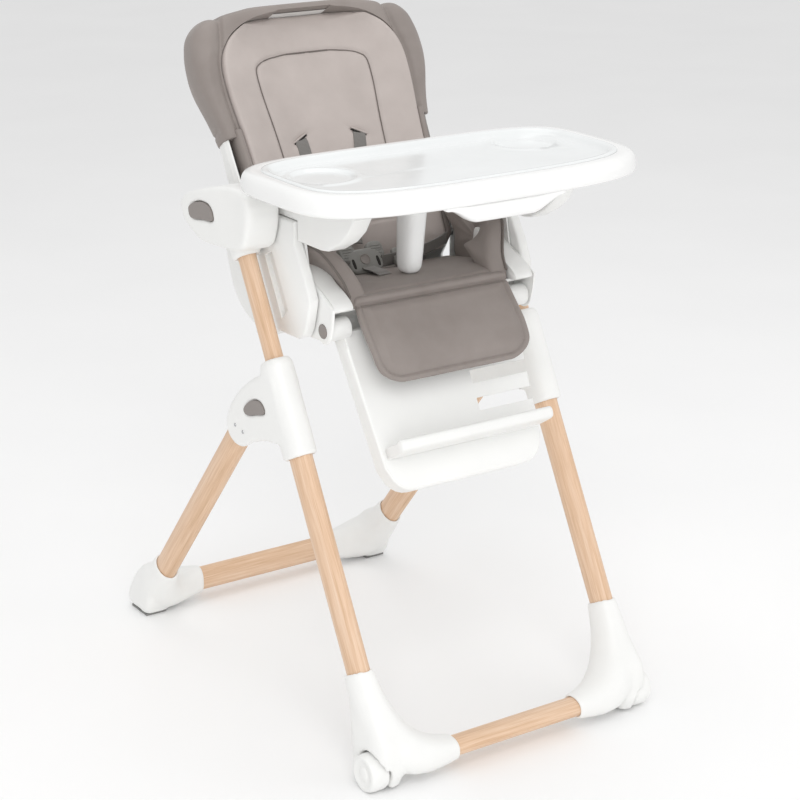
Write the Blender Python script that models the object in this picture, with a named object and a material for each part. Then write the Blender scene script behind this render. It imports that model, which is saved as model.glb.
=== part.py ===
"""Folding, height-adjustable baby high chair. Metres, +Z up, the child faces -Y.

The origin is on the floor, in the middle of the chair's overall box. Every side piece is
made by one function that takes side = -1 (the chair's right hand, -X) or +1.
"""

from math import atan2, cos, pi, radians, sin

import bmesh
import bpy
from mathutils import Matrix, Vector

# ------------------------------------------------------------------ driving dimensions
GAP = 0.0004             # air between two pieces that touch
RUN = 0.0010             # running clearance round a piece that slides or turns

LEG_X = 0.243            # half the distance between the two planes of legs
LEG_LEAN = radians(28.2)     # front legs, top leaning back
LEG_FLOOR_Y = -0.4116    # where the front leg axis meets the floor
REAR_LEAN = radians(39.9)    # rear legs, foot towards the back

TUBE = (0.048, 0.034)    # outer leg tube, fore-and-aft and across
TUBE_WALL = 0.0016
SLIDE_TUBE = (0.038, 0.027)  # inner leg tube that telescopes in the outer one
SLIDE_WALL = 0.0014
FRONT_BAR = (0.042, 0.030)   # front floor bar, fore-and-aft and up
REAR_BAR = (0.031, 0.046)    # rear floor bar

FOLD_PIVOT = Vector((0, 0.0, 0.504))     # rear legs turn about this line
MID_HUB_FROM = 0.540     # along the front leg, from the floor
MID_HUB_TO = 0.702
MID_HUB_SECTION = (TUBE[0] + 0.012, TUBE[1] + 0.016)
HUB_SLOT_AIR = 0.002     # beside the rear leg in the hub's slot
REAR_FOLD = 66.0         # degrees from open to folded
MID_HUB_STOP = 0.655     # top end of the outer tube, inside the hub

UPPER_HUB_FROM = 0.871
UPPER_HUB_OUT = LEG_X + 0.036    # outer face of the upper hub
UPPER_HUB_IN = 0.2175    # inner face, which the seat side is bolted to
SLIDE_TUBE_FROM = 0.440
SLIDE_TUBE_TO = 0.955
HEIGHT_TRAVEL = 0.165    # how far the seat comes down

FRONT_FOOT_LIP = 0.194   # along the front leg
FRONT_BAR_Y = -0.404
FRONT_BAR_Z = 0.040
FRONT_BAR_HALF = 0.1185  # visible half length
REAR_FOOT_LIP = 0.503    # along the rear leg, from the fold pivot
REAR_BAR_Y = 0.398
REAR_BAR_Z = 0.0385
REAR_BAR_HALF = 0.136
BAR_GRIP = 0.035         # length of a bar held in its foot
FOOT_PAD = 0.004         # thickness of a floor pad

WHEEL_RADIUS = 0.031
WHEEL_WIDTH = 0.034
WHEEL_OUT = LEG_X + 0.037    # outer face of a front wheel
WHEEL_Y = -0.388
AXLE_RADIUS = 0.004

SIDE_OUT = 0.2165        # outer face of a seat side
SIDE_IN = 0.198
SHELL_HALF = 0.1965      # seat pan, outside
SHELL_WALL = 0.004

BACK_LEAN = radians(28.0)
BACK_ORIGIN = Vector((0, 0.0325, 0.700))   # on the back cushion's surface, at its foot
RECLINE_PIVOT = Vector((0, 0.055, 0.735))
BACK_WALL = 0.004
BACK_TUB_HALF = 0.1895   # the part of the back shell inside the seat pan
BACK_TUB_RADIUS = 0.110  # round its foot, about the recline pivot
PAN_RADIUS = 0.1125      # inside of the seat pan round that foot
RECLINE_PIN_RADIUS = 0.005
CALF_SWEEP = 0.0285      # space round the calf pivot that the calf rest turns in

CALF_LEAN = radians(27.5)
CALF_PIVOT = Vector((0, -0.152, 0.675))
CALF_LENGTH = 0.274      # from the pivot line down the panel
CALF_TOP_HALF = 0.166    # half width at the pivot line
CALF_FOOT_HALF = 0.149
CALF_FACE = 0.004        # front of the panel, ahead of the pivot line
CALF_DEPTH = 0.030       # from the front face to the back of the side walls
CALF_WALL = 0.004
CALF_ROLL = 0.0400       # top of the calf pad, about the pivot
CALF_BUTTON_RADIUS = 0.0120

LEDGE_DOWN = 0.199       # top of the ledge, along the calf panel from the pivot line
LEDGE_HALF = 0.147
LEDGE_AHEAD = 0.062      # front edge of the ledge, ahead of the pivot line
LEDGE_THICK = 0.0195
LEDGE_STEP = 0.0455      # between two heights of the ledge
SLOT_FROM_X = 0.047
SLOT_HEIGHT = LEDGE_THICK + 0.0015

TRAY_Z = 0.934           # top of the tray's rim
TRAY_HALF = 0.306
TRAY_REAR_Y = -0.044
TRAY_FRONT_Y = -0.356
TRAY_BOW = 0.006         # how far the front edge bows out
TRAY_SKIRT = 0.033
TRAY_FLOOR = 0.014       # depth of the tray below its rim
TRAY_WALL = 0.004
TRAY_ARM_TOP = 0.8995    # the tray's rails slide along this

BUTTON_GAP = 0.0006      # air round a push button
BUCKLE_X = -0.036        # the buckle lies a little to the child's right

TO_FRAME = Vector((0, -0.0064, 0))    # puts the origin in the middle of the floor rectangle

# ------------------------------------------------------------------ colours
PALETTE = {
    "white_plastic": ((0.86, 0.86, 0.85), 0.35, 0.0),
    "tray_plastic": ((0.88, 0.88, 0.88), 0.22, 0.0),
    "button_plastic": ((0.28, 0.26, 0.25), 0.45, 0.0),
    "wood_print": ((0.68, 0.50, 0.35), 0.40, 0.0),
    "steel": ((0.55, 0.55, 0.56), 0.30, 1.0),
    "cover_leather": ((0.22, 0.19, 0.17), 0.50, 0.0),
    "insert_leather": ((0.42, 0.36, 0.32), 0.50, 0.0),
    "webbing": ((0.20, 0.19, 0.18), 0.85, 0.0),
    "buckle_plastic": ((0.16, 0.15, 0.15), 0.50, 0.0),
    "pad_rubber": ((0.55, 0.55, 0.54), 0.80, 0.0),
}

# ------------------------------------------------------------------ frames of reference
LEG_UP = Vector((0, sin(LEG_LEAN), cos(LEG_LEAN)))
LEG_AHEAD = Vector((0, -cos(LEG_LEAN), sin(LEG_LEAN)))
REAR_DOWN = Vector((0, sin(REAR_LEAN), -cos(REAR_LEAN)))
REAR_BEHIND = Vector((0, cos(REAR_LEAN), sin(REAR_LEAN)))
BACK_UP = Vector((0, sin(BACK_LEAN), cos(BACK_LEAN)))
BACK_AHEAD = Vector((0, -cos(BACK_LEAN), sin(BACK_LEAN)))
CALF_DOWN = Vector((0, -sin(CALF_LEAN), -cos(CALF_LEAN)))
CALF_AHEAD = Vector((0, -cos(CALF_LEAN), sin(CALF_LEAN)))
X_AXIS = Vector((1, 0, 0))


def leg_point(along, ahead=0.0, x=0.0):
    """A point by its distance up the front leg and ahead of the leg's axis."""
    return Vector((x, LEG_FLOOR_Y, 0)) + LEG_UP * along + LEG_AHEAD * ahead


def rear_point(down, behind=0.0, x=0.0):
    return FOLD_PIVOT + REAR_DOWN * down + REAR_BEHIND * behind + X_AXIS * x


def back_point(up, ahead=0.0, x=0.0):
    return BACK_ORIGIN + BACK_UP * up + BACK_AHEAD * ahead + X_AXIS * x


def calf_point(down, ahead=0.0, x=0.0):
    return CALF_PIVOT + CALF_DOWN * down + CALF_AHEAD * ahead + X_AXIS * x


# ------------------------------------------------------------------ scene helpers
def clear_scene():
    for obj in list(bpy.data.objects):
        bpy.data.objects.remove(obj, do_unlink=True)


def material(name):
    found = bpy.data.materials.get(name)
    if found:
        return found
    colour, roughness, metallic = PALETTE[name]
    made = bpy.data.materials.new(name)
    made.use_nodes = True
    shader = made.node_tree.nodes["Principled BSDF"]
    shader.inputs["Base Color"].default_value = (*colour, 1)
    shader.inputs["Roughness"].default_value = roughness
    shader.inputs["Metallic"].default_value = metallic
    return made


def place(name, bm, look, origin=(0, 0, 0)):
    """Turns a bmesh in world coordinates into an object whose origin is given."""
    bmesh.ops.remove_doubles(bm, verts=bm.verts, dist=1e-6)
    bmesh.ops.recalc_face_normals(bm, faces=bm.faces)
    bmesh.ops.translate(bm, vec=-Vector(origin), verts=bm.verts)
    mesh = bpy.data.meshes.new(name)
    bm.to_mesh(mesh)
    bm.free()
    mesh.shade_smooth()
    mesh.set_sharp_from_angle(angle=radians(35))
    obj = bpy.data.objects.new(name, mesh)
    obj.location = Vector(origin) + TO_FRAME
    obj.data.materials.append(material(look))
    bpy.context.scene.collection.objects.link(obj)
    return obj


def helper(name, bm):
    """A cutter or a piece to be joined on, which isn't a node of its own."""
    obj = place(name, bm, "steel")
    obj.hide_render = True
    obj.display_type = "WIRE"
    return obj


def boolean(obj, other, operation):
    step = obj.modifiers.new(operation.lower(), "BOOLEAN")
    step.operation = operation
    step.solver = "EXACT"
    step.object = other


def cut(obj, *cutters):
    for cutter in cutters:
        boolean(obj, cutter, "DIFFERENCE")
    return obj


def join(obj, *others):
    for other in others:
        boolean(obj, other, "UNION")
    return obj


# ------------------------------------------------------------------ shape helpers
def loft(rings, closed=False):
    """A solid skinned over rings of points, capped at both ends unless it is closed."""
    bm = bmesh.new()
    loops = [[bm.verts.new(point) for point in points] for points in rings]
    pairs = list(zip(loops, loops[1:]))
    if closed:
        pairs.append((loops[-1], loops[0]))
    for low, high in pairs:
        for i in range(len(low)):
            bm.faces.new((low[i - 1], low[i], high[i], high[i - 1]))
    if not closed:
        bm.faces.new(loops[0])
        bm.faces.new(loops[-1])
    return bm


def oval(centre, across, along, size, count=24, power=2.0):
    """A closed oval, or with power above 2 a rounded rectangle."""
    points = []
    for i in range(count):
        angle = 2 * pi * i / count
        c, s = cos(angle), sin(angle)
        a = size[0] / 2 * abs(c) ** (2 / power) * (1 if c >= 0 else -1)
        b = size[1] / 2 * abs(s) ** (2 / power) * (1 if s >= 0 else -1)
        points.append(centre + across * a + along * b)
    return points


def grown(size, by):
    return (size[0] + 2 * by, size[1] + 2 * by)


def oval_tube(start, end, across, size, wall, count=24):
    """A hollow tube, open at both ends."""
    inner = grown(size, -wall)
    rings = [
        oval(start, across, X_AXIS, size, count),
        oval(end, across, X_AXIS, size, count),
        oval(end, across, X_AXIS, inner, count),
        oval(start, across, X_AXIS, inner, count),
    ]
    return loft(rings, closed=True)


def rod(start, end, radius, count=20, across=None):
    direction = (end - start).normalized()
    side = across or direction.orthogonal().normalized()
    other = direction.cross(side).normalized()
    size = (2 * radius, 2 * radius)
    return loft([oval(start, side, other, size, count), oval(end, side, other, size, count)])


def prism(outline, x_from, x_to, bevel=0.0, segments=2):
    """An outline of (y, z) points pushed along X, with its two rims rounded."""
    bm = bmesh.new()
    verts = [bm.verts.new((x_from, y, z)) for y, z in outline]
    face = bm.faces.new(verts)
    pushed = bmesh.ops.extrude_face_region(bm, geom=[face])
    moved = [item for item in pushed["geom"] if isinstance(item, bmesh.types.BMVert)]
    bmesh.ops.translate(bm, verts=moved, vec=(x_to - x_from, 0, 0))
    if bevel:
        rims = [e for e in bm.edges if abs(e.verts[0].co.x - e.verts[1].co.x) < 1e-9]
        bmesh.ops.bevel(bm, geom=rims, offset=bevel, segments=segments, profile=0.5,
                        affect="EDGES", clamp_overlap=True, material=-1)
    return bm


def arc(centre, radius, start, stop, count):
    """Points (y, z) on a circle, angles in degrees from +Y towards +Z."""
    steps = [radians(start + (stop - start) * i / (count - 1)) for i in range(count)]
    return [(centre[0] + radius * cos(a), centre[1] + radius * sin(a)) for a in steps]


def smooth_outline(points, per_side=4):
    """A closed curve through the points."""
    found = []
    count = len(points)
    for i in range(count):
        p0, p1, p2, p3 = (Vector(points[(i + k - 1) % count]) for k in range(4))
        for step in range(per_side):
            t = step / per_side
            found.append(0.5 * (2 * p1 + (p2 - p0) * t + (2 * p0 - 5 * p1 + 4 * p2 - p3) * t * t
                                + (3 * p1 - p0 - 3 * p2 + p3) * t ** 3))
    return [tuple(p) for p in found]


def bezier(p0, p1, p2, p3, t):
    u = 1 - t
    return p0 * u ** 3 + p1 * (3 * u * u * t) + p2 * (3 * u * t * t) + p3 * t ** 3


def mix(a, b, t):
    return a + (b - a) * t


# ------------------------------------------------------------------ front frame
def side_name(stem, side):
    return f"{stem}_{'left' if side > 0 else 'right'}"


def front_leg(side):
    """Outer oval leg tube, from the foot up into the mid hub."""
    start = leg_point(FRONT_FOOT_LIP - 0.110, x=side * LEG_X)
    end = leg_point(MID_HUB_STOP, x=side * LEG_X)
    place(side_name("front_leg", side), oval_tube(start, end, LEG_AHEAD, TUBE, TUBE_WALL), "wood_print")


def leg_bore(name, start, end, side, size):
    x = side * LEG_X
    rings = [oval(leg_point(s, x=x), LEG_AHEAD, X_AXIS, size) for s in (start, end)]
    return helper(name, loft(rings))


def swept_foot(start, start_way, end, end_way, sizes, pull, steps=9):
    """A solid skinned along a bend, from a leg's socket to a floor bar's socket."""
    p1 = start + start_way * pull[0]
    p2 = end - end_way * pull[1]
    rings = []
    for i in range(steps + 1):
        t = i / steps
        centre = bezier(start, p1, p2, end, t)
        nearby = bezier(start, p1, p2, end, min(t + 0.02, 1.0))
        before = bezier(start, p1, p2, end, max(t - 0.02, 0.0))
        way = (nearby - before).normalized()
        ahead = Vector((0, -1, 0))
        ahead = (ahead - way * ahead.dot(way)).normalized()
        across = way.cross(ahead).normalized()
        if t < 0.5:
            size = [mix(a, b, sin(t * pi) ** 1.2) for a, b in zip(sizes[0], sizes[1])]
        else:
            size = [mix(a, b, sin(t * pi) ** 1.2) for a, b in zip(sizes[2], sizes[1])]
        rings.append(oval(centre, ahead, across, size, 24, 2.3))
    return loft(rings)


def front_foot(side):
    x = side * LEG_X
    lip = leg_point(FRONT_FOOT_LIP, x=x)
    end = Vector((side * FRONT_BAR_HALF, FRONT_BAR_Y, FRONT_BAR_Z))
    sizes = (grown(TUBE, 0.0035), (0.082, 0.074), grown(FRONT_BAR, 0.0035))
    body = swept_foot(lip, -LEG_UP, end, Vector((-side, 0, 0)), sizes, (0.140, 0.085))
    foot = place(side_name("front_foot", side), body, "white_plastic")
    levels = [(0.120, -0.314, -0.386, -0.022, 0.0205), (0.085, -0.321, -0.418, -0.026, 0.0250),
              (0.060, -0.326, -0.4235, -0.029, 0.0265), (0.030, -0.329, -0.4230, -0.029, 0.0260),
              (0.0045, -0.332, -0.4120, -0.025, 0.0210)]
    rings = [oval(leg_point(FRONT_FOOT_LIP, x=x), LEG_AHEAD, X_AXIS, grown(TUBE, 0.0030), 28, 2.2),
             oval(leg_point(FRONT_FOOT_LIP - 0.025, x=x), LEG_AHEAD, X_AXIS, grown(TUBE, 0.0045), 28, 2.3)]
    for z, rear, front, inner, outer in levels:
        centre = Vector((side * (LEG_X + (inner + outer) / 2), (rear + front) / 2, z))
        rings.append(oval(centre, Vector((0, -1, 0)), X_AXIS, (rear - front, outer - inner), 28, 3.4))
    join(foot, helper(side_name("boot", side), loft(rings)))
    floor_box = bmesh.new()
    bmesh.ops.create_cube(floor_box, size=1, matrix=Matrix.LocRotScale(
        (x, -0.38, -0.0455), None, (0.5, 0.4, 0.1)))
    cut(foot, helper(side_name("foot_floor", side), floor_box))
    well_from, well_to = side * (WHEEL_OUT - WHEEL_WIDTH - 0.002), side * (WHEEL_OUT + 0.04)
    centre = (WHEEL_Y, WHEEL_RADIUS)
    well = arc(centre, WHEEL_RADIUS + 0.003, 0, 180, 15) + [(-0.45, -0.02), (centre[0] + 0.034, -0.02)]
    cut(foot, helper(side_name("wheel_well", side), prism(well, well_from, well_to)))
    cut(foot, leg_bore(side_name("foot_bore", side), FRONT_FOOT_LIP - 0.110 - GAP, FRONT_FOOT_LIP + 0.02,
                       side, grown(TUBE, GAP)))
    bar_start = Vector((side * (FRONT_BAR_HALF + BAR_GRIP + GAP), FRONT_BAR_Y, FRONT_BAR_Z))
    bar_end = Vector((side * (FRONT_BAR_HALF - 0.02), FRONT_BAR_Y, FRONT_BAR_Z))
    socket = [oval(p, Vector((0, -1, 0)), Vector((0, 0, 1)), grown(FRONT_BAR, GAP)) for p in (bar_start, bar_end)]
    cut(foot, helper(side_name("bar_socket", side), loft(socket)))
    axle_from = Vector((side * (WHEEL_OUT - WHEEL_WIDTH - 0.016 - GAP), WHEEL_Y, WHEEL_RADIUS))
    axle_to = Vector((side * (WHEEL_OUT + 0.02), WHEEL_Y, WHEEL_RADIUS))
    cut(foot, helper(side_name("axle_bore", side), rod(axle_from, axle_to, AXLE_RADIUS + GAP)))


def floor_bar(name, half, y, z, size):
    ends = [Vector((s * (half + BAR_GRIP), y, z)) for s in (-1, 1)]
    outer = [oval(p, Vector((0, -1, 0)), Vector((0, 0, 1)), size) for p in ends]
    inner = [oval(p, Vector((0, -1, 0)), Vector((0, 0, 1)), grown(size, -TUBE_WALL)) for p in ends]
    place(name, loft(outer + inner[::-1], closed=True), "wood_print")


def front_wheel(side):
    centre = Vector((0, WHEEL_Y, WHEEL_RADIUS))
    inner_x = side * (WHEEL_OUT - WHEEL_WIDTH)
    outer_x = side * WHEEL_OUT
    profile = [(0.0, -0.004), (0.15, -0.0008), (0.5, 0.0), (0.85, -0.0008), (1.0, -0.004)]
    rings = []
    for share, drop in profile:
        at_x = Vector((mix(inner_x, outer_x, share), 0, 0))
        radius = 2 * (WHEEL_RADIUS + drop)
        rings.append(oval(centre + at_x, Vector((0, 1, 0)), Vector((0, 0, 1)), (radius, radius), 32))
    wheel = place(side_name("front_wheel", side), loft(rings), "white_plastic", centre + X_AXIS * inner_x)
    bore_from = Vector((inner_x - side * 0.01, WHEEL_Y, WHEEL_RADIUS))
    bore_to = Vector((outer_x - side * 0.005, WHEEL_Y, WHEEL_RADIUS))
    cut(wheel, helper(side_name("wheel_bore", side), rod(bore_from, bore_to, AXLE_RADIUS + GAP)))
    axle_from = Vector((side * (WHEEL_OUT - WHEEL_WIDTH - 0.016), WHEEL_Y, WHEEL_RADIUS))
    axle_to = Vector((outer_x - side * 0.006, WHEEL_Y, WHEEL_RADIUS))
    place(side_name("wheel_axle", side), rod(axle_from, axle_to, AXLE_RADIUS), "steel")


LOBE = [(0.040, 0.468), (0.044, 0.487), (0.033, 0.510), (0.012, 0.537), (-0.017, 0.562),
        (-0.052, 0.585), (-0.092, 0.602), (-0.112, 0.598), (-0.128, 0.560), (-0.152, 0.500),
        (-0.130, 0.492), (-0.096, 0.487), (-0.066, 0.481), (-0.040, 0.468), (-0.020, 0.456),
        (0.004, 0.450), (0.026, 0.455)]
MID_BUTTON = [(-0.021, 0.524), (-0.035, 0.538), (-0.055, 0.548), (-0.074, 0.549),
              (-0.086, 0.540), (-0.083, 0.531), (-0.060, 0.524), (-0.040, 0.517), (-0.026, 0.516)]


def scaled_outline(outline, by):
    """An outline whose edge moves in or out by a distance."""
    middle = Vector((sum(p[0] for p in outline), sum(p[1] for p in outline))) / len(outline)
    found = []
    for point in outline:
        away = Vector(point) - middle
        found.append(tuple(middle + away * (1 + by / away.length)))
    return found


def mid_hub(side):
    """Housing round the telescoping leg, with two cheeks that hold the rear leg."""
    x = side * LEG_X
    half = MID_HUB_SECTION[1] / 2
    body = prism(smooth_outline(LOBE, 2), x - half, x + half, 0.006, 2)
    hub = place(side_name("mid_hub", side), body, "white_plastic")
    stops = [(MID_HUB_FROM, -0.003), (MID_HUB_FROM + 0.004, 0.0), (MID_HUB_TO - 0.012, 0.0),
             (MID_HUB_TO - 0.003, -0.003), (MID_HUB_TO, -0.008)]
    rings = [oval(leg_point(s, x=x), LEG_AHEAD, X_AXIS, grown(MID_HUB_SECTION, g), 24, 2.4) for s, g in stops]
    join(hub, helper(side_name("hub_sleeve", side), loft(rings)))
    cut(hub, leg_bore(side_name("hub_bore", side), MID_HUB_FROM - 0.02, MID_HUB_STOP + GAP, side,
                      grown(TUBE, GAP)))
    cut(hub, leg_bore(side_name("hub_throat", side), MID_HUB_STOP - 0.01, MID_HUB_TO + 0.02, side,
                      grown(SLIDE_TUBE, RUN)))
    slot_half = TUBE[1] / 2 + HUB_SLOT_AIR
    slot_round = TUBE[0] / 2 + 0.004
    fold = radians(-REAR_FOLD)
    reach = 0.19
    ends = []
    for turn in (0.0, fold):
        way = Matrix.Rotation(turn, 3, "X") @ REAR_DOWN
        wide = Matrix.Rotation(turn, 3, "X") @ REAR_BEHIND
        ends.append((FOLD_PIVOT + way * reach + wide * slot_round, FOLD_PIVOT + way * reach - wide * slot_round,
                     FOLD_PIVOT + wide * slot_round, FOLD_PIVOT - wide * slot_round))
    rest, folded = ends
    top = arc((FOLD_PIVOT.y, FOLD_PIVOT.z), slot_round, 40, 153.9, 9)
    slot = [tuple(p)[1:] for p in (folded[3], folded[1], folded[0], rest[1], rest[0], rest[2])] + top
    corners = sorted(slot, key=lambda p: atan2(p[1] - 0.44, p[0] + 0.01))
    cut(hub, helper(side_name("hub_slot", side), prism(corners, x - slot_half, x + slot_half)))
    pin_hole = rod(Vector((x - side * 0.04, 0, 0)) + FOLD_PIVOT, Vector((x + side * 0.0225, 0, 0)) + FOLD_PIVOT,
                   0.004 + GAP)
    cut(hub, helper(side_name("pin_hole", side), pin_hole))
    pin = rod(Vector((x - side * 0.0235, 0, 0)) + FOLD_PIVOT, Vector((x + side * 0.0220, 0, 0)) + FOLD_PIVOT, 0.004)
    place(side_name("fold_pin", side), pin, "steel")
    push_button("mid_button", side, MID_BUTTON, x + side * half, 0.0035, 0.0030, hub)


def push_button(stem, side, outline, face_x, depth, travel, housing):
    """A button that travels inwards through its housing's outer face."""
    rounded = smooth_outline(outline, 3)
    stand = 0.0016
    button = prism(scaled_outline(rounded, -BUTTON_GAP), face_x - side * depth, face_x + side * stand, 0.0008, 2)
    middle = Vector((face_x, sum(p[0] for p in outline) / len(outline), sum(p[1] for p in outline) / len(outline)))
    place(side_name(stem, side), button, "button_plastic", middle)
    hole = prism(rounded, face_x - side * (depth + travel + BUTTON_GAP), face_x + side * 0.02)
    cut(housing, helper(side_name(stem + "_hole", side), hole))


# ------------------------------------------------------------------ rear frame

def rear_leg(side):
    x = side * LEG_X
    start, end = rear_point(0.034, x=x), rear_point(REAR_FOOT_LIP + 0.080, x=x)
    leg = place(side_name("rear_leg", side), oval_tube(start, end, REAR_BEHIND, TUBE, TUBE_WALL), "wood_print",
                FOLD_PIVOT)
    half = TUBE[1] / 2
    disc = [oval(FOLD_PIVOT + X_AXIS * (x + s * half), Vector((0, 1, 0)), Vector((0, 0, 1)), (0.042, 0.042), 24)
            for s in (-1, 1)]
    knuckle = place(side_name("rear_knuckle", side), loft(disc), "white_plastic", FOLD_PIVOT)
    plug_size = grown(TUBE, -TUBE_WALL - GAP)
    plug = [oval(rear_point(d, x=x), REAR_BEHIND, X_AXIS, plug_size) for d in (0.008, 0.080)]
    join(knuckle, helper(side_name("knuckle_plug", side), loft(plug)))
    hole = rod(FOLD_PIVOT + X_AXIS * (x - 0.03), FOLD_PIVOT + X_AXIS * (x + 0.03), 0.004 + GAP)
    cut(knuckle, helper(side_name("knuckle_hole", side), hole))
    return leg


def rear_foot(side):
    x = side * LEG_X
    lip = rear_point(REAR_FOOT_LIP, x=x)
    end = Vector((side * REAR_BAR_HALF, REAR_BAR_Y, REAR_BAR_Z))
    sizes = (grown(TUBE, 0.0035), (0.074, 0.078), grown(REAR_BAR, 0.0035))
    body = swept_foot(lip, REAR_DOWN, end, Vector((-side, 0, 0)), sizes, (0.105, 0.085))
    foot = place(side_name("rear_foot", side), body, "white_plastic", FOLD_PIVOT)
    heel = smooth_outline([(0.352, 0.112), (0.392, 0.098), (0.428, 0.060), (0.447, 0.026), (0.441, 0.0045),
                           (0.400, 0.0045), (0.372, 0.0045), (0.352, 0.050)], 2)
    block = helper(side_name("heel_block", side), prism(heel, side * (LEG_X - 0.027), side * (LEG_X + 0.025), 0.012, 3))
    join(foot, block)
    floor_box = bmesh.new()
    bmesh.ops.create_cube(floor_box, size=1, matrix=Matrix.LocRotScale(
        (x, 0.40, -0.0455), None, (0.5, 0.4, 0.1)))
    cut(foot, helper(side_name("rear_floor", side), floor_box))
    ends = [oval(rear_point(d, x=x), REAR_BEHIND, X_AXIS, grown(TUBE, GAP)) for d in
            (REAR_FOOT_LIP - 0.02, REAR_FOOT_LIP + 0.080 + GAP)]
    cut(foot, helper(side_name("rear_bore", side), loft(ends)))
    bar = [oval(Vector((side * bx, REAR_BAR_Y, REAR_BAR_Z)), Vector((0, -1, 0)), Vector((0, 0, 1)),
                grown(REAR_BAR, GAP)) for bx in (REAR_BAR_HALF - 0.02, REAR_BAR_HALF + BAR_GRIP + GAP)]
    cut(foot, helper(side_name("rear_socket", side), loft(bar)))
    sole = [(0.378, 0.0), (0.436, 0.0), (0.436, FOOT_PAD), (0.378, FOOT_PAD)]
    pad = prism(sole, side * (LEG_X - 0.021), side * (LEG_X + 0.019))
    place(side_name("rear_foot_pad", side), pad, "pad_rubber", FOLD_PIVOT)


# ------------------------------------------------------------------ carriage and seat
UPPER_HUB = [(0.157, 0.818), (0.160, 0.832), (0.145, 0.848), (0.119, 0.858), (0.085, 0.868),
             (0.045, 0.878), (0.011, 0.885), (-0.030, 0.889), (-0.058, 0.880), (-0.066, 0.845),
             (-0.052, 0.800), (-0.030, 0.788), (0.010, 0.783), (0.058, 0.779), (0.092, 0.779),
             (0.124, 0.790), (0.146, 0.803)]
UPPER_BUTTON = [(0.125, 0.827), (0.120, 0.834), (0.104, 0.842), (0.083, 0.847), (0.062, 0.846),
                (0.049, 0.838), (0.046, 0.822), (0.078, 0.818), (0.105, 0.814), (0.120, 0.815)]


def slide_tube(side):
    x = side * LEG_X
    start, end = leg_point(SLIDE_TUBE_FROM, x=x), leg_point(SLIDE_TUBE_TO, x=x)
    place(side_name("slide_tube", side), oval_tube(start, end, LEG_AHEAD, SLIDE_TUBE, SLIDE_WALL), "wood_print")


def upper_hub(side):
    x_in, x_out = side * UPPER_HUB_IN, side * UPPER_HUB_OUT
    hub = place(side_name("upper_hub", side), prism(smooth_outline(UPPER_HUB, 2), x_in, x_out, 0.009, 3),
                "white_plastic")
    x = side * LEG_X
    stops = [(UPPER_HUB_FROM, -0.002), (UPPER_HUB_FROM + 0.004, 0.0), (0.950, 0.001), (0.975, -0.004)]
    section = (0.052, 0.044)
    rings = [oval(leg_point(s, x=x), LEG_AHEAD, X_AXIS, grown(section, g), 24, 2.3) for s, g in stops]
    join(hub, helper(side_name("upper_sleeve", side), loft(rings)))
    cut(hub, leg_bore(side_name("upper_bore", side), UPPER_HUB_FROM - 0.02, SLIDE_TUBE_TO + GAP, side,
                      grown(SLIDE_TUBE, GAP)))
    push_button("upper_button", side, UPPER_BUTTON, x_out, 0.0105, 0.0050, hub)


def seat_side(side):
    """Flat column beside the leg, bolted to the upper hub's inner face."""
    outline = [(-0.100, 0.806), (-0.127, 0.764), (-0.146, 0.724), (-0.140, 0.700), (-0.133, 0.676),
               (-0.124, 0.661), (-0.106, 0.654), (-0.046, 0.653), (-0.020, 0.700), (0.014, 0.762),
               (0.050, 0.786), (0.060, 0.800), (0.060, 0.8285), (0.000, 0.842), (-0.100, 0.842)]
    column = place(side_name("seat_side", side), prism(outline, side * SIDE_IN, side * SIDE_OUT, 0.004, 2),
                   "white_plastic")
    groove = [tuple(leg_point(s, a))[1:] for s, a in ((0.763, 0.010), (0.868, 0.010), (0.868, 0.034), (0.770, 0.034))]
    cut(column, helper(side_name("side_groove", side), prism(groove, side * (SIDE_OUT - 0.008), side * 0.23)))
    place_tray_arm(side)


def place_tray_arm(side):
    """Rail that carries the tray, standing on the seat side."""
    arm = [(-0.036, 0.8430), (-0.030, TRAY_ARM_TOP), (-0.258, TRAY_ARM_TOP), (-0.264, 0.876), (-0.249, 0.853),
           (-0.226, 0.833), (-0.190, 0.814), (-0.170, 0.811), (-0.110, 0.811), (-0.1008, 0.8115), (-0.1008, 0.8430)]
    place(side_name("tray_arm", side), prism(arm, side * 0.176, side * 0.2105, 0.003, 2), "white_plastic")


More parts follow.
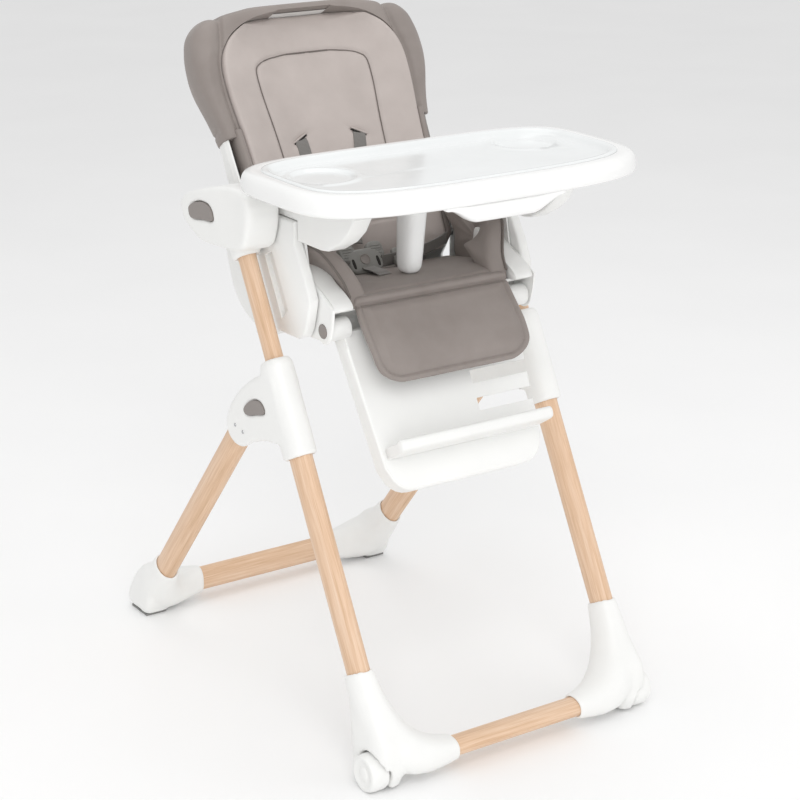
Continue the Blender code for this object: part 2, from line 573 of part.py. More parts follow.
def seat_shell():
    """Pan under the seat: a tub open at the top and behind, hollowed in front for the calf hinge."""
    pivot = (CALF_PIVOT.y, CALF_PIVOT.z)
    turn = (RECLINE_PIVOT.y, RECLINE_PIVOT.z)
    outer = ([(-0.182, 0.716), (-0.1785, 0.690)] + arc(pivot, 0.022, 200, 300, 6)
             + [(-0.100, 0.6545)] + arc(turn, PAN_RADIUS + SHELL_WALL, -140, -88, 8)
             + [(0.060, 0.760), (0.030, 0.800), (-0.060, 0.8095), (-0.100, 0.806), (-0.112, 0.750), (-0.150, 0.733)])
    shell = place("seat_shell", prism(outer, -SHELL_HALF, SHELL_HALF, 0.003, 2), "white_plastic")
    well = (arc(pivot, CALF_SWEEP + SHELL_WALL, 100, -18, 8) + arc(turn, PAN_RADIUS, -141, -88, 8)
            + [(0.09, 0.6225), (0.09, 0.83), (-0.22, 0.83), (-0.22, 0.7085)])
    inner = SHELL_HALF - SHELL_WALL
    cut(shell, helper("seat_well", prism(well, -inner, inner)))
    front = arc(pivot, CALF_SWEEP, 105, -50, 12) + [(-0.12, 0.60), (-0.25, 0.60), (-0.25, 0.84), (-0.1615, 0.84)]
    cut(shell, helper("calf_channel", prism(front, -inner, inner)))
    for side in (-1, 1):
        bore = rod(CALF_PIVOT + X_AXIS * side * 0.18, CALF_PIVOT + X_AXIS * side * 0.22, CALF_BUTTON_RADIUS)
        cut(shell, helper(side_name("calf_button_hole", side), bore))
        bore = rod(RECLINE_PIVOT + X_AXIS * side * 0.18, RECLINE_PIVOT + X_AXIS * side * 0.22,
                   RECLINE_PIN_RADIUS + GAP)
        cut(shell, helper(side_name("recline_bore", side), bore))


def seat_pad():
    """Cushion with two side wings, as one soft solid."""
    pivot = (CALF_PIVOT.y, CALF_PIVOT.z)
    under = arc(pivot, CALF_ROLL + 0.0015, 112, 10, 8)
    bottom = ([(-0.1700, 0.7165), (-0.165, 0.7215), (-0.150, 0.7240), (-0.120, 0.7265), (0.000, 0.709),
               (0.026, 0.700), (0.024, 0.672), (-0.020, 0.6690), (-0.060, 0.676), (-0.095, 0.682)] + under[::-1])
    half = 0.174
    pad = place("seat_pad", prism(bottom, -half, half), "cover_leather")
    for side in (-1, 1):
        foot = tuple(back_point(0.0, 0.040))[1:]
        head = tuple(back_point(0.095, 0.040))[1:]
        wing = [(-0.160, 0.7205), (-0.118, 0.785), (-0.070, 0.806), (-0.010, 0.806), head, foot,
                (-0.060, 0.700), (-0.120, 0.7205)]
        join(pad, helper(side_name("seat_wing", side), prism(wing, side * 0.150, side * 0.180, 0.006, 2)))
    return pad


# ------------------------------------------------------------------ backrest
def back_outline(points):
    return [tuple(back_point(up, ahead))[1:] for up, ahead in points]


HULL_LEVELS = [(0.060, 0.184, 0.092, 6.0, 0.0), (0.120, 0.190, 0.098, 3.6, 0.0), (0.180, 0.196, 0.100, 2.5, 0.0),
               (0.256, 0.1985, 0.100, 2.1, 0.0), (0.300, 0.2015, 0.099, 2.1, 0.0), (0.342, 0.2060, 0.096, 2.1, 0.0),
               (0.385, 0.2050, 0.093, 2.1, 0.0), (0.412, 0.1985, 0.090, 2.1, 0.03), (0.436, 0.1870, 0.087, 2.1, 0.07),
               (0.454, 0.1620, 0.083, 2.1, 0.12), (0.466, 0.1250, 0.078, 2.1, 0.15)]


def hull_section(up, half, behind, power, tilt, grow, ahead=0.020):
    """One level of the back: nearly square in front, rounder behind; grow moves it out or in."""
    points = []
    for i in range(28):
        angle = 2 * pi * i / 28
        c, s = cos(angle), sin(angle)
        bend, reach = (5.0, ahead) if s >= 0 else (power, behind + grow)
        x = (half + grow) * abs(c) ** (2 / bend) * (1 if c >= 0 else -1)
        n = reach * abs(s) ** (2 / bend) * (1 if s >= 0 else -1)
        points.append(back_point(up - tilt * (n + 0.068), n, x))
    return points


def back_shell():
    """Tub behind the back cushion, open to the front, rounder towards its top."""
    turn = (RECLINE_PIVOT.y, RECLINE_PIVOT.z)
    lean = -28
    foot = arc(turn, BACK_TUB_RADIUS, lean, lean - 70, 10)
    front = back_outline([(0.012, -0.038), (0.046, 0.018), (0.100, 0.020), (0.100, -0.105)])
    shell = place("back_shell", prism(front + foot, -BACK_TUB_HALF, BACK_TUB_HALF, 0.006, 2), "white_plastic",
                  RECLINE_PIVOT)
    join(shell, helper("shell_hull", loft([hull_section(*level, 0.0) for level in HULL_LEVELS])))
    inner_foot = arc(turn, BACK_TUB_RADIUS - BACK_WALL, lean, lean - 64, 10)
    well = back_outline([(-0.056, 0.10), (0.140, 0.10), (0.140, -0.080), (0.100, -0.088)]) + inner_foot
    half = BACK_TUB_HALF - BACK_WALL - 0.004
    cut(shell, helper("back_well", prism(well, -half, half)))
    hollow = [hull_section(*level, -BACK_WALL, 0.10) for level in HULL_LEVELS[1:-1]]
    cut(shell, helper("back_hollow", loft(hollow)))
    for side in (-1, 1):
        hole = rod(RECLINE_PIVOT + X_AXIS * side * 0.17, RECLINE_PIVOT + X_AXIS * side * 0.21,
                   RECLINE_PIN_RADIUS + GAP)
        cut(shell, helper(side_name("back_pin_hole", side), hole))
        pin = rod(RECLINE_PIVOT + X_AXIS * side * 0.182, RECLINE_PIVOT + X_AXIS * side * 0.1968, RECLINE_PIN_RADIUS)
        place(side_name("recline_pin", side), pin, "steel", RECLINE_PIVOT)
    slot = back_outline([(0.365, -0.2), (0.365, -0.05), (0.398, -0.05), (0.398, -0.2)])
    cut(shell, helper("handle_slot", prism(slot, -0.052, 0.052)))
    cut(shell, liner_room("shell_opening", -0.034))


def back_section(up, half, front, rear, hollow, count=12):
    """One level of a back cushion: a curved front and a flat rear, corner to corner."""
    points = []
    for i in range(count + 1):
        x = -half + 2 * half * i / count
        share = abs(x / half)
        points.append(back_point(up, front + hollow * share ** 3, x))
    points.append(back_point(up, mix(front, rear, 0.5), half * 0.995))
    points.append(back_point(up, rear, half * 0.93))
    points.append(back_point(up, rear, -half * 0.93))
    points.append(back_point(up, mix(front, rear, 0.5), -half * 0.995))
    return points


INSERT_LEVELS = [(0.014, 0.150), (0.030, 0.160), (0.120, 0.165), (0.240, 0.171), (0.330, 0.178), (0.380, 0.174),
                 (0.415, 0.152), (0.440, 0.115), (0.452, 0.070)]


def back_insert():
    """Removable padded liner, lighter than the cover."""
    rings = [back_section(up, half, -0.002, -0.030, 0.034) for up, half in INSERT_LEVELS]
    place("back_insert", loft(rings), "insert_leather", RECLINE_PIVOT)


def liner_room(name, rear):
    """Cutter a little larger than the liner, open to the front."""
    rings = []
    for up, half in INSERT_LEVELS[1:]:
        edge = half + 0.0015
        corners = ((-edge, 0.20), (edge, 0.20), (edge, rear), (-edge, rear))
        rings.append([back_point(up + 0.0015, ahead, x) for x, ahead in corners])
    return helper(name, loft(rings))


def back_cover():
    """Upholstered hood over the upper half of the back shell, open round the liner."""
    room, thick = 0.0010, 0.0055
    levels = HULL_LEVELS[3:9] + [(0.459, 0.163, 0.084, 2.1, 0.12), (0.4755, 0.124, 0.080, 2.1, 0.15)]
    rings = [hull_section(*level, room + thick, 0.031) for level in levels]
    cover = place("back_cover", loft(rings), "cover_leather", RECLINE_PIVOT)
    inside = [hull_section(*level, room, 0.020 + room) for level in HULL_LEVELS[2:-1]]
    inside.append(hull_section(0.4672, 0.1250, 0.078, 2.1, 0.15, room, 0.020 + room))
    cut(cover, helper("cover_room", loft(inside)))
    mouth = back_outline([(0.355, -0.2), (0.355, -0.05), (0.408, -0.05), (0.408, -0.2)])
    cut(cover, helper("cover_mouth", prism(mouth, -0.060, 0.060)))
    cut(cover, liner_room("cover_opening", -0.010))


def recline_handle():
    """Squeeze handle in the back of the shell, near its top."""
    outline = back_outline([(0.368, -0.106), (0.368, -0.070), (0.384, -0.070), (0.384, -0.106)])
    place("recline_handle", prism(outline, -0.050, 0.050, 0.004, 2), "button_plastic", back_point(0.376, -0.088))


# ------------------------------------------------------------------ calf rest and ledge
def calf_box(down, ahead, x_from, x_to, bevel=0.0):
    outline = [tuple(calf_point(d, a))[1:] for d, a in
               ((down[0], ahead[0]), (down[1], ahead[0]), (down[1], ahead[1]), (down[0], ahead[1]))]
    return prism(outline, x_from, x_to, bevel)


def panel_outline(inset, ahead):
    """The calf panel's face at one depth: tapered, with round lower corners."""
    radius = 0.042 - inset
    top, foot = CALF_TOP_HALF - inset, CALF_FOOT_HALF - inset
    low = CALF_LENGTH - inset
    right = [(top, 0.006 + inset), (mix(top, foot, 0.8), low - radius)]
    for i in range(1, 7):
        angle = pi / 2 * i / 6
        right.append((foot - radius + radius * cos(angle), low - radius + radius * sin(angle)))
    whole = right + [(-x, down) for x, down in right[::-1]]
    return [calf_point(down, ahead, x) for x, down in whole]


def calf_panel():
    """Moulded panel with side walls, slotted on one side for the foot ledge."""
    back = CALF_FACE - CALF_DEPTH
    rings = [panel_outline(0.003, CALF_FACE), panel_outline(0.0, CALF_FACE - 0.003), panel_outline(0.0, back)]
    panel = place("calf_panel", loft(rings), "white_plastic", CALF_PIVOT)
    inside = [panel_outline(CALF_WALL, CALF_FACE - CALF_WALL), panel_outline(CALF_WALL, back - 0.01)]
    cut(panel, helper("panel_inside", loft(inside)))
    for k in range(3):
        top = LEDGE_DOWN - k * LEDGE_STEP
        slot = calf_box((top, top + SLOT_HEIGHT), (-0.05, 0.03), SLOT_FROM_X, 0.20)
        cut(panel, helper(f"ledge_slot_{k}", slot))
    for side in (-1, 1):
        inner_x, outer_x = side * (CALF_TOP_HALF - 0.012), side * (SHELL_HALF - SHELL_WALL - RUN)
        disc = [oval(CALF_PIVOT + X_AXIS * x, Vector((0, 1, 0)), Vector((0, 0, 1)), (0.036, 0.036), 24)
                for x in (inner_x, outer_x)]
        join(panel, helper(side_name("calf_lug", side), loft(disc)))
        arm = calf_box((0.0, 0.034), (-0.016, CALF_FACE - 0.001), side * (CALF_TOP_HALF - 0.012),
                       side * (CALF_TOP_HALF - 0.001))
        join(panel, helper(side_name("calf_arm", side), arm))
        bore = rod(CALF_PIVOT + X_AXIS * (outer_x - side * 0.016), CALF_PIVOT + X_AXIS * (outer_x + side * 0.01),
                   CALF_BUTTON_RADIUS)
        cut(panel, helper(side_name("lug_bore", side), bore))
        button = rod(CALF_PIVOT + X_AXIS * (outer_x - side * 0.006),
                     CALF_PIVOT + X_AXIS * side * (SHELL_HALF + 0.0012), CALF_BUTTON_RADIUS - GAP, 24)
        place(side_name("calf_button", side), button, "button_plastic", CALF_PIVOT)


def calf_pad():
    """Padded flap that rolls over the front edge of the seat and hangs before the calf panel."""
    surface = [(-0.1644, 0.7130, 0.141, 0.0045), (-0.1690, 0.7100, 0.142, 0.0045), (-0.1796, 0.7026, 0.145, 0.0042),
               (-0.1868, 0.6920, 0.146, 0.0048), (-0.200, 0.672, 0.147, 0.013), (-0.2185, 0.652, 0.148, 0.020),
               (-0.232, 0.632, 0.146, 0.022), (-0.2385, 0.618, 0.136, 0.020), (-0.2380, 0.604, 0.112, 0.014)]
    rings = []
    for i, (y, z, half, thick) in enumerate(surface):
        before, after = surface[max(i - 1, 0)], surface[min(i + 1, len(surface) - 1)]
        way = Vector((0, after[0] - before[0], after[1] - before[1])).normalized()
        ahead = Vector((0, way.z, -way.y))
        middle = Vector((0, y, z)) - ahead * thick / 2
        rings.append(oval(middle, X_AXIS, ahead, (2 * half, thick), 28, 4.0))
    place("calf_pad", loft(rings), "cover_leather", CALF_PIVOT)


def foot_ledge():
    """Plate that hooks into the slots of the calf panel."""
    start = (LEDGE_DOWN + 0.00075, LEDGE_DOWN + 0.00075 + LEDGE_THICK)
    ledge = place("foot_ledge", calf_box(start, (CALF_FACE + GAP, LEDGE_AHEAD), -LEDGE_HALF, LEDGE_HALF, 0.004),
                  "white_plastic")
    hook = calf_box((start[0] + 0.001, start[1] - 0.001), (CALF_FACE - 0.014, CALF_FACE + 0.006),
                    SLOT_FROM_X + 0.001, 0.134)
    join(ledge, helper("ledge_hook", hook))


# ------------------------------------------------------------------ tray
def tray_outline(inset, z, count=44):
    """Plan of the tray: a rounded rectangle, rounder and slightly bowed in front."""
    middle_y = (TRAY_REAR_Y + TRAY_FRONT_Y) / 2
    half_x, half_y = TRAY_HALF - inset, (TRAY_REAR_Y - TRAY_FRONT_Y) / 2 - inset
    points = []
    for i in range(count):
        c, s = cos(2 * pi * i / count), sin(2 * pi * i / count)
        bend = 5.0 if s >= 0 else 3.9
        x = half_x * abs(c) ** (2 / bend) * (1 if c >= 0 else -1)
        y = half_y * abs(s) ** (2 / bend) * (1 if s >= 0 else -1)
        bow = TRAY_BOW * (1 - (x / half_x) ** 2) * abs(y) / half_y if y < 0 else 0
        points.append(Vector((x, middle_y + y - bow, z)))
    return points


def tray():
    """Tray with a rolled skirt and a shallow well for the liner."""
    rings = [tray_outline(0.004, TRAY_Z - TRAY_SKIRT), tray_outline(-0.006, TRAY_Z - TRAY_SKIRT + 0.006),
             tray_outline(-0.004, TRAY_Z - 0.008), tray_outline(0.004, TRAY_Z - 0.001), tray_outline(0.014, TRAY_Z),
             tray_outline(0.024, TRAY_Z - 0.002), tray_outline(0.030, TRAY_Z - TRAY_FLOOR),
             tray_outline(0.120, TRAY_Z - TRAY_FLOOR - 0.001)]
    base = place("tray", loft(rings), "tray_plastic")
    under = [tray_outline(0.008, TRAY_Z - TRAY_SKIRT - 0.01), tray_outline(-0.002, TRAY_Z - TRAY_SKIRT + 0.007),
             tray_outline(0.002, TRAY_Z - 0.0135), tray_outline(0.034, TRAY_Z - TRAY_FLOOR - TRAY_WALL - 0.001),
             tray_outline(0.120, TRAY_Z - TRAY_FLOOR - TRAY_WALL - 0.001)]
    cut(base, helper("tray_under", loft(under)))
    for side in (-1, 1):
        rail = [(-0.310, TRAY_Z - 0.0155), (-0.070, TRAY_Z - 0.0155), (-0.070, TRAY_ARM_TOP + GAP), (-0.310, TRAY_ARM_TOP + GAP)]
        join(base, helper(side_name("tray_rail", side), prism(rail, side * 0.180, side * 0.206)))


def tray_liner():
    """Thin lift-off liner in the tray's well, with two cup recesses."""
    low = TRAY_Z - TRAY_FLOOR + GAP
    rings = [tray_outline(0.034, low), tray_outline(0.029, TRAY_Z - 0.0015), tray_outline(0.022, TRAY_Z + 0.0012),
             tray_outline(0.026, TRAY_Z + 0.0022), tray_outline(0.034, TRAY_Z), tray_outline(0.038, low + 0.003),
             tray_outline(0.120, low + 0.003)]
    liner = place("tray_liner", loft(rings), "tray_plastic")
    for x in (-0.215, 0.215):
        cup = [oval(Vector((x, -0.130, z)), X_AXIS, Vector((0, 1, 0)), (0.080 + g, 0.080 + g), 24)
               for z, g in ((low + 0.0015, -0.010), (low + 0.006, 0.0))]
        cut(liner, helper("cup_recess", loft(cup)))


def tray_release():
    """Squeeze lever hung under the middle of the tray's front edge."""
    outline = [(-0.352, 0.9003), (-0.362, 0.8990), (-0.368, 0.889), (-0.365, 0.880), (-0.355, 0.876),
               (-0.333, 0.876), (-0.325, 0.886), (-0.325, 0.9003)]
    place("tray_release", prism(outline, -0.072, 0.072, 0.005, 2), "white_plastic")


def crotch_post():
    """Post that hangs from the tray between the child's legs."""
    levels = [(0.728, 0.014, 0.018), (0.734, 0.030, 0.036), (0.750, 0.036, 0.044), (0.850, 0.042, 0.056),
              (TRAY_Z - TRAY_FLOOR - TRAY_WALL - 0.0016, 0.050, 0.066)]
    rings = [oval(Vector((0, mix(-0.100, -0.114, (z - 0.728) / 0.18), z)), X_AXIS, Vector((0, 1, 0)), (w, d), 20, 2.6)
             for z, w, d in levels]
    place("crotch_post", loft(rings), "tray_plastic")


# ------------------------------------------------------------------ harness
def strap(name, points, width, thick, across, look="webbing"):
    """Flat webbing along a line of points."""
    rings = []
    for i, point in enumerate(points):
        way = (points[min(i + 1, len(points) - 1)] - points[max(i - 1, 0)]).normalized()
        side = (across - way * across.dot(way)).normalized()
        up = way.cross(side).normalized()
        rings.append([point + side * (sx * width / 2) + up * (sy * thick / 2)
                      for sx, sy in ((-1, -1), (1, -1), (1, 1), (-1, 1))])
    return place(name, loft(rings), look)


def harness():
    for side in (-1, 1):
        strap(side_name("lap_strap", side),
              [Vector((side * x + BUCKLE_X * share, y, z)) for x, y, z, share in
               ((0.140, 0.000, 0.742, 0.0), (0.100, -0.008, 0.733, 0.4), (0.064, -0.018, 0.731, 0.8),
                (0.0335, -0.024, 0.7315, 1.0))],
              0.022, 0.0025, Vector((0, -0.3, 1)))
        strap(side_name("shoulder_strap", side),
              [back_point(up, ahead, side * x + BUCKLE_X * share) for up, ahead, x, share in
               ((0.232, 0.008, 0.056, 0.0), (0.180, 0.010, 0.050, 0.2), (0.110, 0.010, 0.034, 0.7),
                (0.070, 0.014, 0.022, 1.0))],
              0.022, 0.0025, X_AXIS)
    strap("crotch_strap", [Vector((BUCKLE_X, y, z)) for y, z in ((-0.062, 0.7205), (-0.050, 0.7215), (-0.040, 0.7225))],
          0.024, 0.0025, X_AXIS)
    body = [(-0.036, 0.716), (-0.010, 0.712), (0.006, 0.736), (-0.004, 0.755), (-0.014, 0.757), (-0.036, 0.728)]
    buckle = place("harness_buckle", prism(body, BUCKLE_X - 0.031, BUCKLE_X + 0.031, 0.004, 2), "buckle_plastic")
    centre = Vector((BUCKLE_X, -0.0255, 0.7425))
    way = Vector((0, -0.796, 0.605))
    hole = rod(centre - way * 0.008, centre + way * 0.02, 0.009)
    cut(buckle, helper("buckle_hole", hole))
    place("buckle_button", rod(centre - way * 0.0045, centre + way * 0.003, 0.009 - BUTTON_GAP, 20), "button_plastic",
          centre)


# ------------------------------------------------------------------ the whole chair
def build():
    clear_scene()
    floor_bar("front_crossbar", FRONT_BAR_HALF, FRONT_BAR_Y, FRONT_BAR_Z, FRONT_BAR)
    floor_bar("rear_crossbar", REAR_BAR_HALF, REAR_BAR_Y, REAR_BAR_Z, REAR_BAR)
    for side in (-1, 1):
        front_leg(side)
        front_foot(side)
        front_wheel(side)
        mid_hub(side)
        rear_leg(side)
        rear_foot(side)
        slide_tube(side)
        upper_hub(side)
        seat_side(side)
    seat_shell()
    seat_pad()
    back_shell()
    back_insert()
    back_cover()
    recline_handle()
    calf_panel()
    calf_pad()
    foot_ledge()
    tray()
    tray_liner()
    tray_release()
    crotch_post()
    harness()


build()
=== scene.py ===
"""Looks of a folding baby high chair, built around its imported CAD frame. Metres, +Z up.

Design coordinates are the CAD's own. finished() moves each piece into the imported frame.
"""

from math import cos, exp, pi, radians, sin

import bmesh
import bpy
import numpy as np
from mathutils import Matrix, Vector


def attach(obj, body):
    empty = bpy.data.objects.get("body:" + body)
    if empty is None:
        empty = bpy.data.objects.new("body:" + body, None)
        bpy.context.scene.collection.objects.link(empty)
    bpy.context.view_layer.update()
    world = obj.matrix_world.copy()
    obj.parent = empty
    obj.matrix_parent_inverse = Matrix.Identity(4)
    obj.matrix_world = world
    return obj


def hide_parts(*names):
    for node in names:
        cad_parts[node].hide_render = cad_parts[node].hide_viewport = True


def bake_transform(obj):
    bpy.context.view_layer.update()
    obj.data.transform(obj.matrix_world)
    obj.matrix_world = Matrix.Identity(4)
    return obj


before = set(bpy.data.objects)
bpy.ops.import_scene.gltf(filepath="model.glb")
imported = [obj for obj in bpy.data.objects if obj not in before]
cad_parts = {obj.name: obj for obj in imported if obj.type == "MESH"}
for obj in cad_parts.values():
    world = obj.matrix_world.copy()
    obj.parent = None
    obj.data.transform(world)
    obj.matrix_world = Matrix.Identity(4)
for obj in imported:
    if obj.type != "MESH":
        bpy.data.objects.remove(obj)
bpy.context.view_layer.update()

# ------------------------------------------------------------------ the chair's own lines
TO_FRAME = Vector((0, -0.0064, 0))
LEG_X = 0.243
LEG_LEAN, REAR_LEAN = radians(28.2), radians(39.9)
BACK_LEAN, CALF_LEAN = radians(28.0), radians(27.5)
LEG_FOOT = Vector((0, -0.4116, 0))
FOLD_PIVOT = Vector((0, 0, 0.504))
BACK_ORIGIN = Vector((0, 0.0325, 0.700))
CALF_PIVOT = Vector((0, -0.152, 0.675))
LEG_UP = Vector((0, sin(LEG_LEAN), cos(LEG_LEAN)))
LEG_AHEAD = Vector((0, -cos(LEG_LEAN), sin(LEG_LEAN)))
REAR_DOWN = Vector((0, sin(REAR_LEAN), -cos(REAR_LEAN)))
REAR_BEHIND = Vector((0, cos(REAR_LEAN), sin(REAR_LEAN)))
BACK_UP = Vector((0, sin(BACK_LEAN), cos(BACK_LEAN)))
BACK_AHEAD = Vector((0, -cos(BACK_LEAN), sin(BACK_LEAN)))
CALF_DOWN = Vector((0, -sin(CALF_LEAN), -cos(CALF_LEAN)))
CALF_AHEAD = Vector((0, -cos(CALF_LEAN), sin(CALF_LEAN)))
X_AXIS, Y_AXIS, Z_AXIS = Vector((1, 0, 0)), Vector((0, 1, 0)), Vector((0, 0, 1))
SIDES = (("left", 1), ("right", -1))


def leg_point(along, ahead=0.0, x=0.0):
    return LEG_FOOT + LEG_UP * along + LEG_AHEAD * ahead + X_AXIS * x


def rear_point(down, behind=0.0, x=0.0):
    return FOLD_PIVOT + REAR_DOWN * down + REAR_BEHIND * behind + X_AXIS * x


def back_point(up, ahead=0.0, x=0.0):
    return BACK_ORIGIN + BACK_UP * up + BACK_AHEAD * ahead + X_AXIS * x


def calf_point(down, ahead=0.0, x=0.0):
    return CALF_PIVOT + CALF_DOWN * down + CALF_AHEAD * ahead + X_AXIS * x


# ------------------------------------------------------------------ small sums
def mix(a, b, t):
    return a + (b - a) * t


def ramp(value, low, high):
    """0 below low, 1 above high, and a smooth step between them."""
    t = min(max((value - low) / (high - low), 0.0), 1.0)
    return t * t * (3 - 2 * t)


def bell(value, width):
    return exp(-((value / width) ** 2))


def eased(table, at):
    """The row of a table at a place between its rows, on a smooth curve through them."""
    at = min(max(at, table[0][0]), table[-1][0])
    k = max(i for i in range(len(table) - 1) if table[i][0] <= at)
    low, high = table[k], table[k + 1]
    before, after = table[max(k - 1, 0)], table[min(k + 2, len(table) - 1)]
    span = high[0] - low[0]
    t = (at - low[0]) / span
    row = []
    for p, q, r, s in zip(before[1:], low[1:], high[1:], after[1:]):
        leave = (r - p) / (high[0] - before[0]) * span
        arrive = (s - q) / (after[0] - low[0]) * span
        row.append((2 * t ** 3 - 3 * t * t + 1) * q + (t ** 3 - 2 * t * t + t) * leave
                   + (3 * t * t - 2 * t ** 3) * r + (t ** 3 - t * t) * arrive)
    return row


def smooth_line(points, steps):
    """A finer line through the points, open at both ends."""
    found = []
    for i in range(len(points) - 1):
        p0, p1 = points[max(i - 1, 0)], points[i]
        p2, p3 = points[i + 1], points[min(i + 2, len(points) - 1)]
        for k in range(steps):
            t = k / steps
            found.append(0.5 * (2 * p1 + (p2 - p0) * t + (2 * p0 - 5 * p1 + 4 * p2 - p3) * t * t
                                + (3 * p1 - p0 - 3 * p2 + p3) * t ** 3))
    return found + [points[-1]]


def oval(centre, across, along, size, count=48, power=2.0):
    """Points of an oval, or of a rounded rectangle with power above 2."""
    points = []
    for i in range(count):
        c, s = cos(2 * pi * i / count), sin(2 * pi * i / count)
        a = size[0] / 2 * abs(c) ** (2 / power) * (1 if c >= 0 else -1)
        b = size[1] / 2 * abs(s) ** (2 / power) * (1 if s >= 0 else -1)
        points.append(centre + across * a + along * b)
    return points


# ------------------------------------------------------------------ materials
def linear(colour):
    """An sRGB hex colour as linear RGBA."""
    channels = [int(colour[i:i + 2], 16) / 255 for i in (1, 3, 5)]
    return (*[c / 12.92 if c <= 0.04045 else ((c + 0.055) / 1.055) ** 2.4 for c in channels], 1.0)


def node(tree, kind, settings=None, **sockets):
    """Adds a node. A socket is given by its name, or as i0, i1 by its place, and its value is a number, a
    colour or another node's output."""
    made = tree.nodes.new(kind)
    for name, value in (settings or {}).items():
        setattr(made, name, value)
    for name, value in sockets.items():
        numbered = name[0] == "i" and name[1:].isdigit()
        socket = made.inputs[int(name[1:]) if numbered else name.replace("_", " ")]
        if isinstance(value, bpy.types.NodeSocket):
            tree.links.new(value, socket)
        else:
            socket.default_value = value
    return made


def finish_of(name, base, **shader_values):
    """A new material; base is its sRGB colour and the rest go on the shader's own sockets."""
    made = bpy.data.materials.new(name)
    made.use_nodes = True
    shader = made.node_tree.nodes["Principled BSDF"]
    shader.inputs["Base Color"].default_value = linear(base)
    for socket, value in shader_values.items():
        shader.inputs[socket.replace("_", " ")].default_value = value
    made.diffuse_color = linear(base)
    return made, made.node_tree, shader


def tinted(tree, shader, factor, stops):
    """Colours the shader along a ramp of (place, hex) stops."""
    colours = node(tree, "ShaderNodeValToRGB", i0=factor)
    elements = colours.color_ramp.elements
    while len(elements) < len(stops):
        elements.new(0.5)
    for element, (place, colour) in zip(elements, stops):
        element.position, element.color = place, linear(colour)
    tree.links.new(colours.outputs["Color"], shader.inputs["Base Color"])


def object_space(tree, size, turn=(0, 0, 0)):
    """Object coordinates turned and divided by a size in metres."""
    place = node(tree, "ShaderNodeTexCoord")
    return node(tree, "ShaderNodeMapping", {"vector_type": "TEXTURE"}, Vector=place.outputs["Object"],
                Rotation=turn, Scale=size).outputs["Vector"]


def rough_between(tree, shader, factor, low, high):
    spread = node(tree, "ShaderNodeMapRange", Value=factor, To_Min=low, To_Max=high)
    tree.links.new(spread.outputs["Result"], shader.inputs["Roughness"])


def bumped(tree, shader, height, distance, strength=1.0):
    bump = node(tree, "ShaderNodeBump", Height=height, Distance=distance, Strength=strength)
    tree.links.new(bump.outputs["Normal"], shader.inputs["Normal"])


def moulded_plastic(name, base, shade, low, high, grain, depth):
    """Injection-moulded polypropylene or ABS: one even colour, a fine eroded grain, satin shine."""
    made, tree, shader = finish_of(name, base, IOR=1.49, Coat_Weight=0.0)
    cloud = node(tree, "ShaderNodeTexNoise", Vector=object_space(tree, (0.07,) * 3), Scale=1.0, Detail=3.0)
    tinted(tree, shader, cloud.outputs["Fac"], [(0.30, shade), (0.70, base)])
    fine = node(tree, "ShaderNodeTexNoise", Vector=object_space(tree, (grain,) * 3), Scale=1.0, Detail=2.0)
    rough_between(tree, shader, cloud.outputs["Fac"], low, high)
    bumped(tree, shader, fine.outputs["Fac"], depth)
    return made


def printed_beech(name, turn):
    """Oval steel tube wrapped in a printed beech film: straight grain along the tube, satin lacquer."""
    made, tree, shader = finish_of(name, "#dcbc9f", Roughness=0.42, IOR=1.5, Coat_Weight=0.12,
                                   Coat_Roughness=0.35)
    broad = node(tree, "ShaderNodeTexNoise", Vector=object_space(tree, (0.010, 0.010, 0.28), turn),
                 Scale=1.0,
                 Detail=3.0, Roughness=0.55, Distortion=0.6)
    # Beech pores are 0.1 mm wide; the lines are drawn 1.6 mm wide so that they show.
    pores = node(tree, "ShaderNodeTexNoise", Vector=object_space(tree, (0.0016, 0.0016, 0.055), turn),
                 Scale=1.0,
                 Detail=4.0, Roughness=0.6)
    both = node(tree, "ShaderNodeMix", {"data_type": "FLOAT"}, i0=0.45, i2=broad.outputs["Fac"],
                i3=pores.outputs["Fac"])
    tinted(tree, shader, both.outputs[0], [(0.30, "#c9a582"), (0.44, "#d9b594"), (0.54, "#e3c2a4"),
                                           (0.70, "#eed5bf")])
    rough_between(tree, shader, pores.outputs["Fac"], 0.36, 0.50)
    bumped(tree, shader, pores.outputs["Fac"], 0.00012)
    return made


def coated_fabric(name, base, shade, light):
    """PU-coated polyester, embossed with a soft leather grain and matt, as on wipe-clean seat covers."""
    made, tree, shader = finish_of(name, base, IOR=1.46, Sheen_Weight=0.10, Sheen_Roughness=0.45)
    cloud = node(tree, "ShaderNodeTexNoise", Vector=object_space(tree, (0.060,) * 3), Scale=1.0, Detail=4.0)
    # The embossed grain is 0.6 mm; it is drawn at 1.4 mm so that it shows.
    grain = node(tree, "ShaderNodeTexVoronoi", {"feature": "DISTANCE_TO_EDGE"},
                 Vector=object_space(tree, (0.0014,) * 3), Scale=1.0, Randomness=0.9)
    creases = node(tree, "ShaderNodeTexNoise", Vector=object_space(tree, (0.022,) * 3), Scale=1.0,
                   Detail=5.0,
                   Roughness=0.55)
    tinted(tree, shader, cloud.outputs["Fac"], [(0.30, shade), (0.50, base), (0.72, light)])
    rough_between(tree, shader, creases.outputs["Fac"], 0.46, 0.60)
    height = node(tree, "ShaderNodeMix", {"data_type": "FLOAT"}, i0=0.72, i2=grain.outputs["Distance"],
                  i3=creases.outputs["Fac"])
    bumped(tree, shader, height.outputs[0], 0.0011, 0.55)
    return made


